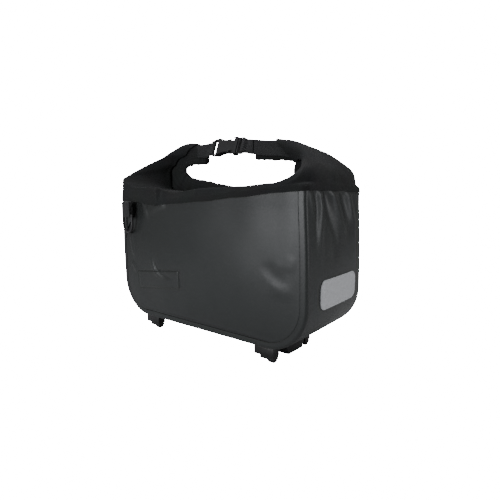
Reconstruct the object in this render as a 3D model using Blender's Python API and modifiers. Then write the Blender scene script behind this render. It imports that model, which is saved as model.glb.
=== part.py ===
"""Bicycle trunk bag whose rolled mouth is buckled above its middle as a carrying loop.

Metres, +Z up. The length runs along X, the front faces -Y, and Z is 0 under the rack hooks,
below the middle of the bag.
"""

import math

import bmesh
import bpy
from mathutils import Matrix, Vector

# Welded body, measured from its own underside
BAG_LENGTH = 0.380
BAG_WIDTH = 0.155
SEAM_HEIGHT = 0.2065
SEAM_SAG = 0.0150
BOTTOM_RADIUS = 0.062
EDGE_RADIUS = 0.007
FLANGE = 0.010
FLANGE_PULL = 0.024
WALL = 0.0015
PANEL_BULGE = 0.0050
END_BULGE = 0.0020
SIDE_SWELL = 0.0025
GATHER_DEPTH = 0.0035
VALLEY_DEPTH = 0.0060
GAP = 0.0003

# Collar and roll
HEM = 0.0060
COLLAR_WALL = 0.0013
COLLAR_HEIGHT = 0.045
ROLL_RISE = 0.0720
ROLL_WIDTH = 0.036
ROLL_THICKNESS = 0.010
ROLL_CRUMPLE = 0.0012
ROLL_SEAT = 0.0007
WRAP_RUN = 0.019

# Webbing and buckle
WEBBING_WIDTH = 0.022
WEBBING_THICKNESS = 0.0014
SHOWN_LEFT = 0.018
SHOWN_RIGHT = 0.027
TAIL_LENGTH = 0.012
BUCKLE_WIDTH = 0.0285
BUCKLE_THICKNESS = 0.0095
BUCKLE_SPACE = 0.0036
BAR_SIZE = 0.0032
BUCKLE_MIDDLE = 0.50
BUCKLE_LEAN = math.radians(-20.0)
BUCKLE_LIFT = 0.0020
FEMALE_BAR = 0.0310
FEMALE_SLOT = 0.0090
FRAME_THICKNESS = 0.0056
MALE_BAR = 0.0330
MALE_SLOT = 0.0070
PRONG_LENGTH = 0.024
PRONG_WIDTH = 0.0040

# D-rings
RING_WIRE = 0.0040
RING_WIDTH = 0.0300
RING_HEIGHT = 0.0330
RING_INSET = 0.0240
TAB_DROP = 0.0240
TAB_WIDTH = 0.0220
TAB_PROUD = 0.0010

# Reflector on the right end
REFLECTOR_WIDTH = 0.102
REFLECTOR_HEIGHT = 0.039
REFLECTOR_LOW = 0.0550
REFLECTOR_SHIFT = 0.003
REFLECTOR_THICKNESS = 0.0008

# Rack adapters
FOOT_HEIGHT = 0.0340
PLATE_LENGTH = 0.043
PLATE_CONTACT = 0.002
RIGHT_INSET = 0.0190
PLATE_SPAN = 0.112
PLATE_SHIFT = 0.0055
PLATE_THICKNESS = 0.010
PLATE_EDGE = 0.0015
BLOCK_SPAN = 0.052
BLOCK_DROP = 0.0175
BLOCK_INSET = 0.0030
BLOCK_SLOPE = 0.4
SEAT_WIDTH = 0.0080
HOOK_Y = 0.043
JAW_LENGTH = 0.035
JAW_WIDTH = 0.015
JAW_DROP = 0.0135
LIP_THICKNESS = 0.0050
LIP_LENGTH = 0.025
LIP_WIDTH = 0.0120
LOBE_DIAMETER = 0.0120
LOBE_LENGTH = 0.014
LOBE_SHIFT = 0.0100

# How finely the cloth is cut into faces
WRAP_STEPS = 3
END_STEPS = 3
CORNER_STEPS = 2
FRONT_STEPS = 20
SHOULDER_STEPS = 3
ROOF_STEPS = 6
SIDE_ROWS = 9
ARC_STEPS = 6
BOTTOM_STEPS = 6
FACE_STEPS = 12
PANEL_COLUMNS = 14
ROLL_STEPS = 40

HALF_LENGTH = BAG_LENGTH / 2
HALF_WIDTH = BAG_WIDTH / 2
BODY_Z = FOOT_HEIGHT
FLAT_HALF = HALF_LENGTH - BOTTOM_RADIUS
ADAPTER_LEFT_X = -FLAT_HALF + PLATE_CONTACT - PLATE_LENGTH / 2
ADAPTER_RIGHT_X = FLAT_HALF - RIGHT_INSET
RING_X = HALF_LENGTH - RING_INSET

# Centre line of the roll seen from the front: x as a share of HALF_LENGTH, z as a share of
# ROLL_RISE above the seam, width as a share of ROLL_WIDTH
ROLL_LINE = (
    # x share, z share, width share
    (-0.247, 0.945, 0.89),
    (-0.440, 0.960, 0.92),
    (-0.575, 0.865, 0.92),
    (-0.620, 0.610, 0.90),
    (-0.560, 0.350, 0.92),
    (-0.440, 0.190, 0.96),
    (-0.280, 0.100, 1.00),
    (-0.100, 0.000, 1.00),
    (0.100, -0.090, 1.00),
    (0.310, -0.120, 1.00),
    (0.500, -0.140, 0.94),
    (0.675, -0.060, 0.80),
    (0.740, 0.160, 0.74),
    (0.725, 0.410, 0.72),
    (0.729, 0.640, 0.70),
    (0.663, 0.770, 0.72),
    (0.568, 0.825, 0.76),
    (0.420, 0.862, 0.79),
    (0.316, 0.905, 0.82),
)

# How the collar runs from the seam to the roll, in shares of the half loop from the middle of the
# left end, along one side, to the middle of the right end. The cloth goes up from the seam to a
# shoulder and then over to the roll. Drop is a share of SEAM_SAG, rise, lean and bow are shares
# of COLLAR_HEIGHT, round is a share of the shoulder's room, peak is where the bow is highest as a
# share of the way from shoulder to roll, and cover is a share of ROLL_WIDTH.
FRONT_COLLAR = (
    # share, drop, rise, lean, round, bow, peak, cover
    (0.000, 0.42, 0.82, 0.02, 0.15, 0.42, 0.60, 0.30),
    (0.060, 0.42, 0.82, 0.02, 0.15, 0.32, 0.56, 0.50),
    (0.145, 0.44, 0.76, 0.03, 0.20, 0.10, 0.50, 0.42),
    (0.220, 0.60, 0.52, 0.04, 0.25, 0.06, 0.50, 0.40),
    (0.320, 1.00, 0.62, 0.06, 0.25, 0.02, 0.50, 0.40),
    (0.420, 0.88, 0.38, 0.06, 0.25, -0.04, 0.50, 0.45),
    (0.530, 0.72, 0.44, 0.06, 0.30, -0.06, 0.50, 0.50),
    (0.650, 0.44, 0.34, 0.06, 0.35, -0.04, 0.50, 0.50),
    (0.780, 0.15, 0.28, 0.06, 0.50, 0.02, 0.50, 0.45),
    (0.850, 0.06, 0.52, 0.04, 0.60, 0.14, 0.50, 0.50),
    (0.900, 0.04, 0.62, 0.06, 0.60, 0.24, 0.50, 0.70),
    (0.965, 0.02, 0.62, 0.08, 0.60, 0.31, 0.52, 0.60),
    (1.000, 0.00, 0.62, 0.08, 0.60, 0.31, 0.53, 0.30),
)
BACK_COLLAR = (
    # share, drop, rise, lean, round, bow, peak, cover
    (0.000, 0.42, 0.82, 0.02, 0.15, 0.42, 0.60, 0.30),
    (0.060, 0.40, 0.82, 0.02, 0.20, 0.34, 0.56, 0.44),
    (0.145, 0.32, 0.64, 0.03, 0.40, 0.14, 0.50, 0.40),
    (0.350, 0.50, 0.46, 0.06, 0.30, -0.02, 0.50, 0.42),
    (0.650, 0.50, 0.42, 0.06, 0.35, -0.04, 0.50, 0.46),
    (0.860, 0.10, 0.66, 0.06, 0.60, 0.22, 0.50, 0.40),
    (0.920, 0.02, 0.66, 0.08, 0.60, 0.30, 0.52, 0.40),
    (1.000, 0.00, 0.62, 0.08, 0.60, 0.31, 0.53, 0.30),
)

# Dents between the gathers under the collar, at the right end. Place and spread are shares of
# HALF_WIDTH, reach is a share of SEAM_HEIGHT and depth of GATHER_DEPTH.
GATHERS = (
    # place, spread, reach, depth
    (-0.70, 0.10, 0.45, 0.70),
    (-0.33, 0.13, 0.80, 1.00),
    (0.22, 0.16, 0.75, 1.00),
    (0.74, 0.12, 0.60, 0.85),
)


def clear_scene():
    for thing in list(bpy.data.objects):
        bpy.data.objects.remove(thing, do_unlink=True)


def make_collection(name):
    group = bpy.data.collections.new(name)
    bpy.context.scene.collection.children.link(group)
    return group


def make_material(name, colour, roughness, metallic=0.0):
    material = bpy.data.materials.new(name)
    material.use_nodes = True
    shader = material.node_tree.nodes["Principled BSDF"]
    shader.inputs["Base Color"].default_value = (*colour, 1.0)
    shader.inputs["Roughness"].default_value = roughness
    shader.inputs["Metallic"].default_value = metallic
    return material


def mix(a, b, share):
    return a + (b - a) * share


def smooth(share):
    share = min(max(share, 0.0), 1.0)
    return share * share * (3.0 - 2.0 * share)


def read_table(table, share):
    """A row of a table at a share, its columns eased between the rows on either side."""
    if share <= table[0][0]:
        return table[0][1:]
    for low, high in zip(table, table[1:]):
        if share <= high[0]:
            part = smooth((share - low[0]) / (high[0] - low[0]))
            return tuple(mix(a, b, part) for a, b in zip(low[1:], high[1:]))
    return table[-1][1:]


def finish_object(name, mesh, material, smooth_angle=40.0):
    piece = bpy.data.objects.new(name, mesh)
    BAG.objects.link(piece)
    mesh.materials.clear()
    mesh.materials.append(material)
    mesh.shade_smooth()
    mesh.set_sharp_from_angle(angle=math.radians(smooth_angle))
    return piece


def mesh_from(name, build):
    """A mesh that a function fills through bmesh, with its faces turned outwards."""
    mesh = bpy.data.meshes.new(name)
    form = bmesh.new()
    build(form)
    bmesh.ops.recalc_face_normals(form, faces=form.faces)
    form.to_mesh(mesh)
    form.free()
    return mesh


def skin(form, rows, around=False):
    """Faces between rows of points that follow each other, closed round each row if asked."""
    grid = [[form.verts.new(point) for point in row] for row in rows]
    for low, high in zip(grid, grid[1:]):
        count = len(low)
        for i in range(count if around else count - 1):
            j = (i + 1) % count
            form.faces.new((low[i], low[j], high[j], high[i]))
    return grid


def solid_loft(name, rows, material):
    """A closed solid through rings of points, with a flat cap at each end."""

    def build(form):
        grid = skin(form, rows, around=True)
        form.faces.new(list(reversed(grid[0])))
        form.faces.new(grid[-1])

    return finish_object(name, mesh_from(name, build), material)


def shell(name, rows, material, thickness, outward, around=False):
    """An open surface thickened inwards; outward tells which way its first face should look."""
    mesh = bpy.data.meshes.new(name)
    form = bmesh.new()
    skin(form, rows, around)
    form.faces.ensure_lookup_table()
    middle = form.faces[len(form.faces) // 2]
    form.normal_update()
    if middle.normal.dot(outward(middle.calc_center_median())) < 0:
        bmesh.ops.reverse_faces(form, faces=form.faces)
    form.to_mesh(mesh)
    form.free()
    piece = finish_object(name, mesh, material)
    wall = piece.modifiers.new("wall", "SOLIDIFY")
    wall.thickness = thickness
    wall.offset = -1.0
    wall.use_even_offset = True
    return piece


def loop_share(x, y):
    """How far a point of the seam loop is from the middle of the left end, as a share."""
    run = x + HALF_LENGTH + (abs(y) if x < 0 else BAG_WIDTH - abs(y))
    return min(max(run / (BAG_LENGTH + BAG_WIDTH), 0.0), 1.0)


def collar_row(share, side):
    return read_table(FRONT_COLLAR if side < 0 else BACK_COLLAR, share)


def seam_height(x, y):
    """Height of the collar seam over the body's underside."""
    drop = collar_row(loop_share(x, y), y)[0]
    return SEAM_HEIGHT - SEAM_SAG * drop


def ring_corner(x, y):
    """1 on the end of a face that carries a D-ring: the left of the front, the right of the back."""
    return 1.0 if x * y > 0 else 0.0


def valley(x, y, z):
    """How far a face is drawn in beside the D-ring, between the ring's corner and the big panel."""
    if not ring_corner(x, y):
        return 0.0
    across = (HALF_LENGTH - abs(x)) / (FLANGE + FLANGE_PULL)
    profile = smooth(across) if across < 1.0 else smooth(2.2 - across)
    depth = smooth((z / SEAM_HEIGHT - 0.62) / 0.30)
    return VALLEY_DEPTH * profile * depth


def flange_width(z, has_ring):
    pulled = smooth((z / SEAM_HEIGHT - 0.64) / 0.30) if has_ring else 0.0
    return FLANGE + FLANGE_PULL * pulled


def face_bulge(x, z):
    across = min(abs(x) / (HALF_LENGTH - FLANGE), 1.0)
    up = min(max((z - FLANGE) / (SEAM_HEIGHT - SEAM_SAG - 0.006 - FLANGE), 0.0), 1.0)
    return PANEL_BULGE * (1.0 - across ** 2.6) * math.sin(math.pi * up) ** 0.8


def swell(z):
    """How far the ends stand out at a height, over the length at the seam."""
    return SIDE_SWELL * math.sin(math.pi * min(max(z / (SEAM_HEIGHT - SEAM_SAG), 0.0), 1.0))


def gather(y, z, end):
    """How far an end is dented between its gathers."""
    place = y / HALF_WIDTH * end
    drop = (SEAM_HEIGHT - z) / SEAM_HEIGHT
    depth = 0.0
    for centre, spread, reach, share in GATHERS:
        fade = max(0.0, 1.0 - max(drop, 0.0) / reach) ** 1.6
        depth += share * fade * math.exp(-(((place - centre) / spread) ** 2))
    return GATHER_DEPTH * depth


def gusset_line():
    """Stations of the gusset from its left top round the bottom to its right top.

    Each is the outer point (x, z), the way in, and which end it belongs to: -1, 0 or 1.
    """
    stations = []
    top = SEAM_HEIGHT + HEM
    for i in range(SIDE_ROWS):
        z = mix(top, BOTTOM_RADIUS, i / SIDE_ROWS)
        stations.append(((-HALF_LENGTH, z), (1.0, 0.0), -1))
    for i in range(ARC_STEPS + 1):
        turn = math.pi / 2 * i / ARC_STEPS
        inward = (math.cos(turn), math.sin(turn))
        point = (-HALF_LENGTH + BOTTOM_RADIUS * (1 - inward[0]), BOTTOM_RADIUS * (1 - inward[1]))
        stations.append((point, inward, -1 if i < ARC_STEPS else 0))
    for i in range(1, BOTTOM_STEPS):
        x = mix(-FLAT_HALF, FLAT_HALF, i / BOTTOM_STEPS)
        stations.append(((x, 0.0), (0.0, 1.0), 0))
    mirrored = [((-p[0], p[1]), (-n[0], n[1]), -end) for p, n, end in reversed(stations)]
    return stations + mirrored[BOTTOM_STEPS - 1:]


def gusset_section():
    """Across the gusset from the front flange to the back flange: share of flange, inset, y."""
    half = []
    for i in range(2):
        half.append((1.0 - i / 2, None, -HALF_WIDTH))
    for i in range(3):
        turn = math.pi / 2 * i / 2
        inset = EDGE_RADIUS * (1 - math.sin(turn))
        half.append((0.0, inset, -HALF_WIDTH + EDGE_RADIUS * (1 - math.cos(turn))))
    inner = HALF_WIDTH - EDGE_RADIUS
    face = [(0.0, 0.0, mix(-inner, inner, i / FACE_STEPS)) for i in range(1, FACE_STEPS)]
    return half + face + [(s, inset, -y) for s, inset, y in reversed(half)]


def gusset_point(station, spot):
    """The outer skin of the gusset at a station and a spot of its section."""
    (x, z), inward, end = station
    share, inset, y = spot
    if end:
        z_here = min(z, seam_height(x, y) + HEM - GAP) if z > SEAM_HEIGHT - SEAM_SAG else z
    else:
        z_here = z
    if share > 0.0:
        width = flange_width(z, end and ring_corner(end, y))
        inset = mix(EDGE_RADIUS, width, share)
        px = x + inward[0] * inset + end * swell(z_here)
        pz = z_here + inward[1] * inset
        return Vector((px, y - math.copysign(valley(px, y, pz), y), BODY_Z + pz))
    crown = 1.0 - (y / (HALF_WIDTH - EDGE_RADIUS)) ** 2 if inset == 0.0 else 0.0
    if end and inset == 0.0:
        rise = min(max(z_here / SEAM_HEIGHT, 0.0), 1.0)
        inset = gather(y, z_here, end) - END_BULGE * crown * math.sin(math.pi * rise)
    px = x + inward[0] * inset + end * swell(z_here)
    return Vector((px, y, BODY_Z + z_here + inward[1] * inset))


def build_gusset():
    section = gusset_section()
    rows = [[gusset_point(station, spot) for spot in section] for station in gusset_line()]
    shell("gusset", rows, COATED, WALL, lambda p: Vector((p.x, 0.0, p.z - BODY_Z - HALF_WIDTH)))


def build_panel(name, side):
    """A face inside the gusset's flanges, rounded at its low corners."""
    radius = BOTTOM_RADIUS - FLANGE - GAP
    rows = []
    for (_, height), (across, up), end in reversed(gusset_line()[:SIDE_ROWS + ARC_STEPS + 1]):
        corner = radius * (1 - across)
        if up > 0.0:
            height = BOTTOM_RADIUS - radius * up
        edge = HALF_LENGTH + swell(height) - corner - GAP
        left = flange_width(height, side < 0) - edge
        right = edge - flange_width(height, side > 0)
        row = []
        for i in range(PANEL_COLUMNS + 1):
            x = mix(left, right, 0.5 - 0.5 * math.cos(math.pi * i / PANEL_COLUMNS))
            z = min(height, seam_height(x, side * HALF_WIDTH) + HEM - GAP)
            y = side * (HALF_WIDTH + face_bulge(x, z) - valley(x, side, z))
            row.append(Vector((x, y, BODY_Z + z)))
        rows.append(row)
    shell(name, rows, COATED, WALL, lambda p: Vector((0.0, side, 0.0)))


def spline_through(points, steps):
    """Points on a smooth curve through the given ones, in a plane."""
    padded = [points[0], *points, points[-1]]
    line = []
    for a, b, c, d in zip(padded, padded[1:], padded[2:], padded[3:]):
        for i in range(steps):
            t = i / steps
            line.append(0.5 * ((2 * b) + (c - a) * t + (2 * a - 5 * b + 4 * c - d) * t * t
                               + (3 * b - a - 3 * c + d) * t ** 3))
    line.append(points[-1])
    return line


def roll_line():
    """The roll's centre line as points with its half width, and the run of its length to each."""
    rows = [Vector((x * HALF_LENGTH, width * ROLL_WIDTH / 2,
                    BODY_Z + SEAM_HEIGHT + z * ROLL_RISE)) for x, z, width in ROLL_LINE]
    line = spline_through(rows, 12)
    widths = [row.y for row in line]
    for row in line:
        row.y = 0.0
    runs = [0.0]
    for a, b in zip(line, line[1:]):
        runs.append(runs[-1] + (b - a).length)
    return line, widths, runs


def roll_frame(share):
    """Centre, way out of the loop and half width at a share of the roll's length."""
    run = min(max(share, 0.0), 1.0) * ROLL_RUNS[-1]
    index = 0
    while index < len(ROLL_RUNS) - 2 and ROLL_RUNS[index + 1] < run:
        index += 1
    part = (run - ROLL_RUNS[index]) / (ROLL_RUNS[index + 1] - ROLL_RUNS[index])
    centre = ROLL_CENTRES[index].lerp(ROLL_CENTRES[index + 1], part)
    half = mix(ROLL_HALVES[index], ROLL_HALVES[index + 1], part)
    low, high = max(index - 4, 0), min(index + 5, len(ROLL_CENTRES) - 1)
    along = (ROLL_CENTRES[high] - ROLL_CENTRES[low]).normalized()
    return centre, Vector((along.z, 0.0, -along.x)), half


def crumple(share):
    """Small puckers on the inner edge of the roll, where its bend squeezes the cloth."""
    return ROLL_CRUMPLE * math.sin(share * 96.0) * math.sin(share * 41.0 + 0.7)


def build_roll():
    deep = ROLL_THICKNESS / 2
    rows = []
    for i in range(ROLL_STEPS + 1):
        share = i / ROLL_STEPS
        centre, out, half = roll_frame(share)
        ring = []
        for k in range(5):
            turn = math.pi * k / 4
            ring.append(centre + out * (half - deep + deep * math.sin(turn))
                        + Vector((0.0, -deep * math.cos(turn), 0.0)))
        for k in range(5):
            turn = math.pi * k / 4
            pucker = crumple(share) * math.sin(turn)
            ring.append(centre - out * (half - deep + deep * math.sin(turn) + pucker)
                        + Vector((0.0, deep * math.cos(turn), 0.0)))
        rows.append(ring)
    solid_loft("closure_roll", rows, WOVEN)


def seam_stations():
    """Points of half the seam loop, from the middle of the left end to that of the right end."""
    proud = GAP + COLLAR_WALL
    long, wide, radius = HALF_LENGTH + proud, HALF_WIDTH + proud, EDGE_RADIUS + proud
    inner = wide - radius
    points = [(-long, WRAP_RUN * i / WRAP_STEPS) for i in range(WRAP_STEPS)]
    points += [(-long, mix(WRAP_RUN, inner, i / END_STEPS)) for i in range(END_STEPS)]
    for i in range(CORNER_STEPS + 1):
        turn = math.pi / 2 * i / CORNER_STEPS
        points.append((-long + radius * (1 - math.cos(turn)), inner + radius * math.sin(turn)))
    front = long - radius
    points += [(mix(-front, front, i / FRONT_STEPS), wide) for i in range(1, FRONT_STEPS // 2)]
    points.append((0.0, wide))
    return points + [(-x, y) for x, y in reversed(points[:-1])]


def rim_point(share, side, cover):
    """Where the collar ends on the roll: wrapped round its outer edge near the two tips."""
    start, end = SHOWN_LEFT / ROLL_RUNS[-1], 1.0 - SHOWN_RIGHT / ROLL_RUNS[-1]
    centre, out, half = roll_frame(mix(start, end, share))
    deep = ROLL_THICKNESS / 2
    clear = deep + ROLL_SEAT + COLLAR_WALL
    wraps = min(share, 1.0 - share) * (BAG_LENGTH + BAG_WIDTH) / WRAP_RUN
    turn = math.pi / 2 * min(wraps, 1.0)
    inset = max(cover * half * 2 - deep, 0.0) * smooth(wraps - 1.0)
    level = half - deep + clear * math.cos(turn) - inset
    return centre + out * level + Vector((0.0, side * clear * math.sin(turn), 0.0))


def clear_of_roll(point):
    """The point itself, or one beside it that leaves room for the roll under the cloth."""
    clear = ROLL_THICKNESS / 2 + ROLL_SEAT + COLLAR_WALL
    index = min(range(len(ROLL_CENTRES)), key=lambda i: (ROLL_CENTRES[i] - point).xz.length)
    centre, out, half = roll_frame(ROLL_RUNS[index] / ROLL_RUNS[-1])
    level = (point - centre).dot(out)
    beyond = level - (half - ROLL_THICKNESS / 2)
    reach = math.hypot(beyond, point.y)
    if beyond <= 0.0 or reach >= clear:
        return point
    push = clear / reach - 1.0
    return point + out * beyond * push + Vector((0.0, point.y * push, 0.0))


def collar_line(x, y, side):
    """One line of cloth from the hem up to the shoulder, round it and over to the roll."""
    share = loop_share(x, y)
    _, rise, lean, rounding, bow, peak, cover = collar_row(share, side)
    foot = Vector((x, side * y, BODY_Z + seam_height(x, side * y)))
    rim = rim_point(share, side, cover)
    toward = Vector((rim.x - foot.x, rim.y - foot.y, 0.0)).normalized()
    shoulder = foot + toward * lean * COLLAR_HEIGHT + Vector((0.0, 0.0, rise * COLLAR_HEIGHT))
    hem = foot + Vector((0.0, 0.0, HEM + GAP + COLLAR_WALL))
    before = shoulder.lerp(hem, rounding)
    after = shoulder.lerp(rim, rounding * (shoulder - hem).length / (rim - shoulder).length)
    skew = math.log(0.5) / math.log(peak)
    roof = []
    for i in range(1, ROOF_STEPS + 1):
        t = i / ROOF_STEPS
        lift = bow * COLLAR_HEIGHT * math.sin(math.pi * t ** skew)
        roof.append(clear_of_roll(shoulder.lerp(rim, t) + Vector((0.0, 0.0, lift))))
    after = shoulder.lerp(roof[0], (after - shoulder).length / (roof[0] - shoulder).length * 0.8)
    line = [foot, hem]
    for i in range(SHOULDER_STEPS + 1):
        t = i / SHOULDER_STEPS
        line.append(before * (1 - t) ** 2 + shoulder * 2 * t * (1 - t) + after * t * t)
    return line + roof


def build_collar():
    stations = seam_stations()
    front = [collar_line(x, y, -1.0) for x, y in stations]
    back = [collar_line(x, y, 1.0) for x, y in stations]
    lines = front + list(reversed(back[1:-1]))
    rows = list(zip(*lines))
    shell("collar", rows, WOVEN, COLLAR_WALL, lambda p: Vector((p.x, p.y, 0.0)), around=True)


def strip(name, line, width, thickness, material, place):
    """A flat strip along a plane line of (u, v) points, its width along the third axis."""
    left, right = [], []
    for i, point in enumerate(line):
        before, after = line[max(i - 1, 0)], line[min(i + 1, len(line) - 1)]
        along = Vector((after[0] - before[0], after[1] - before[1])).normalized()
        across = Vector((-along.y, along.x)) * thickness / 2
        left.append(Vector(point) + across)
        right.append(Vector(point) - across)
    rows = []
    for a, b in zip(left, right):
        rows.append([place(a.x, a.y, -width / 2), place(a.x, a.y, width / 2),
                     place(b.x, b.y, width / 2), place(b.x, b.y, -width / 2)])
    return solid_loft(name, rows, material)


def arc(centre, radius, start, end, steps):
    points = []
    for i in range(steps + 1):
        turn = math.radians(mix(start, end, i / steps))
        points.append((centre[0] + radius * math.cos(turn), centre[1] + radius * math.sin(turn)))
    return points


def buckle_axis():
    """Ends of the line that the buckle and the webbing follow between the roll's two tips."""
    ends = []
    for share in (0.0, 1.0):
        centre, _, half = roll_frame(share)
        ends.append(centre + Vector((0.0, 0.0, half - WEBBING_WIDTH / 2)))
    return ends


def buckle_place():
    """Middle of the buckle, and its ways along and up before it leans back."""
    left, right = buckle_axis()
    along = (right - left).normalized()
    up = Vector((-along.z, 0.0, along.x))
    middle = left + along * ((right - left).length * BUCKLE_MIDDLE)
    level = -(ROLL_THICKNESS / 2 + GAP + WEBBING_THICKNESS / 2)
    base = Vector((middle.x, level, middle.z))
    return base, along, up


def bar_bend():
    """Radius of the webbing's middle where it turns round a buckle's square bar."""
    return BAR_SIZE / math.sqrt(2) + GAP + WEBBING_THICKNESS / 2


def build_webbing():
    """Each end's webbing: sewn on the roll's face, round the buckle's bar and back on itself."""
    base, along, up = buckle_place()
    left_end, right_end = buckle_axis()
    span = (right_end - left_end).length
    bend = bar_bend()
    layer = WEBBING_THICKNESS + GAP
    ends = (
        ("webbing_left", -1.0, -FEMALE_BAR, SHOWN_LEFT),
        ("webbing_right", 1.0, MALE_BAR, SHOWN_RIGHT),
    )
    for name, sign, bar, shown in ends:
        tip = sign * span / 2
        edge = bar + sign * BAR_SIZE * 0.75
        beside = bar + sign * BAR_SIZE * 1.75
        tail = beside + sign * TAIL_LENGTH
        line = [(tip + sign * (shown - WEBBING_THICKNESS), 0.0)]
        line += [(mix(tip, beside, i / 4), 0.0) for i in range(5)]
        line += arc((bar, -bend), bend, 90.0, 90.0 + sign * 180.0, 8)
        line += [(edge, -2 * bend)]
        line += [(mix(beside, tail, i / 3), -layer) for i in range(4)]

        def place(u, v, w):
            lean = 1.0 - smooth((abs(u) - abs(edge)) / (abs(tip) - abs(edge)))
            turn = Matrix.Rotation(BUCKLE_LEAN * lean, 3, "X")
            flat = turn @ Vector((0.0, v, w))
            lift = BUCKLE_LIFT * lean + flat.z
            return base + along * u + Vector((0.0, flat.y, 0.0)) + up * lift

        strip(name, line, WEBBING_WIDTH, WEBBING_THICKNESS, WEBBING, place)


def box_mesh(form, low, high):
    made = bmesh.ops.create_cube(form, size=1.0)["verts"]
    size = [b - a for a, b in zip(low, high)]
    middle = [(a + b) / 2 for a, b in zip(low, high)]
    bmesh.ops.scale(form, vec=size, verts=made)
    bmesh.ops.translate(form, vec=middle, verts=made)
    return made


def cutter(name, low, high):
    mesh = mesh_from(name, lambda form: box_mesh(form, low, high))
    tool = bpy.data.objects.new(name, mesh)
    CUTTERS.objects.link(tool)
    tool.hide_render = True
    tool.display_type = "WIRE"
    return tool


def boolean(piece, tool, operation="DIFFERENCE"):
    modifier = piece.modifiers.new(tool.name, "BOOLEAN")
    modifier.operation = operation
    modifier.solver = "EXACT"
    modifier.object = tool


def outline_solid(name, outline, thickness, material):
    """A flat outline in the buckle's own plane, given as (along, across), with its thickness."""

    def build(form):
        low = [form.verts.new((u, -thickness / 2, w)) for u, w in outline]
        face = form.faces.new(low)
        grown = bmesh.ops.extrude_face_region(form, geom=[face])["geom"]
        verts = [v for v in grown if isinstance(v, bmesh.types.BMVert)]
        bmesh.ops.translate(form, vec=(0.0, thickness, 0.0), verts=verts)

    piece = finish_object(name, mesh_from(name, build), material, 30.0)
    return piece


def set_in_buckle(piece, depth):
    """Turns and moves a piece made round the buckle's middle to its place."""
    base, along, up = buckle_place()
    turn = Matrix((along, Vector((0.0, 1.0, 0.0)), up)).transposed().to_4x4()
    lean = Matrix.Rotation(BUCKLE_LEAN, 4, "X")
    move = Matrix.Translation((0.0, depth, 0.0))
    piece.matrix_world = Matrix.Translation(base + up * BUCKLE_LIFT) @ turn @ lean @ move


def mirrored_outline(half):
    """A closed outline from its upper half, given left to right."""
    return list(half) + [(u, -w) for u, w in reversed(half) if w > 0]


def build_buckle():
    """Female body with a bar and a slot at its left, and the male part clicked into its right."""
    wide = BUCKLE_WIDTH / 2
    thin = BAR_SIZE / 2
    depth = -bar_bend()
    slot_half = WEBBING_WIDTH / 2 + GAP
    left = -FEMALE_BAR - thin
    body = -FEMALE_BAR + thin + FEMALE_SLOT
    mouth = MALE_BAR - thin - MALE_SLOT - BAR_SIZE / 2
    length = mouth - body
    female = outline_solid("buckle_female", mirrored_outline([
        (left, wide * 0.88),
        (left + BAR_SIZE, wide * 0.97),
        (body, wide),
        (body + length * 0.15, wide * 0.97),
        (body + length * 0.38, wide * 0.80),
        (body + length * 0.58, wide * 0.78),
        (body + length * 0.80, wide * 0.94),
        (mouth, wide * 0.97),
    ]), BUCKLE_THICKNESS, MOULDED)
    pocket = BUCKLE_SPACE / 2 + GAP
    reach = wide * 0.52
    window = (mouth - PRONG_LENGTH * 0.80, mouth - PRONG_LENGTH * 0.30)
    flat, step = FRAME_THICKNESS / 2, body + BAR_SIZE / 2
    cuts = [
        ("frame_front", (left - thin, -wide, -wide * 2), (step, -flat, wide * 2)),
        ("frame_back", (left - thin, flat, -wide * 2), (step, wide, wide * 2)),
        ("slot", (left + BAR_SIZE, -wide, -slot_half), (body, wide, slot_half)),
        ("bar_front", (left - thin, -wide, -wide * 2), (left + BAR_SIZE + GAP, -thin, wide * 2)),
        ("bar_back", (left - thin, thin, -wide * 2), (left + BAR_SIZE + GAP, wide, wide * 2)),
        ("pocket", (mouth - PRONG_LENGTH - thin, -pocket, -reach), (mouth + thin, pocket, reach)),
        ("window_low", (window[0], -pocket, -wide * 2), (window[1], pocket, -reach * 0.8)),
        ("window_high", (window[0], -pocket, reach * 0.8), (window[1], pocket, wide * 2)),
    ]
    for label, low, high in cuts:
        tool = cutter(f"cut_{label}", low, high)
        boolean(female, tool)
        set_in_buckle(tool, depth)
    set_in_buckle(female, depth)

    root = mouth + GAP
    end = MALE_BAR + thin
    prong = reach - GAP
    upper = [
        (root - PRONG_LENGTH * 0.75, PRONG_WIDTH * 0.35),
        (root - GAP, PRONG_WIDTH * 0.45),
        (root - GAP, prong - PRONG_WIDTH),
        (root - PRONG_LENGTH, prong - PRONG_WIDTH * 0.9),
        (root - PRONG_LENGTH, prong - PRONG_WIDTH * 0.2),
        (root - PRONG_LENGTH * 0.76, prong),
        (root, prong),
        (root, wide * 0.92),
        (end - BAR_SIZE, wide * 0.95),
        (end, wide * 0.86),
    ]
    male = outline_solid("buckle_male", mirrored_outline(upper), BUCKLE_SPACE, MOULDED)
    tool = cutter("cut_male_slot", (root + thin, -wide, -slot_half),
                  (end - BAR_SIZE, wide, slot_half))
    boolean(male, tool)
    set_in_buckle(tool, depth)
    set_in_buckle(male, depth)


def ring_place(side):
    """World place of a point beside a D-ring: along the bar, out from the wall, and up.

    The front ring is near the left end, and the back one is the same turned half round.
    """
    turn = Matrix.Rotation(0.0 if side < 0 else math.pi, 4, "Z")
    height = BODY_Z + seam_height(side * RING_X, side * HALF_WIDTH) - TAB_DROP
    centre = Vector((-RING_X, -(HALF_WIDTH + TAB_PROUD + RING_WIRE), height))
    return turn @ Matrix.Translation(centre)


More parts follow.
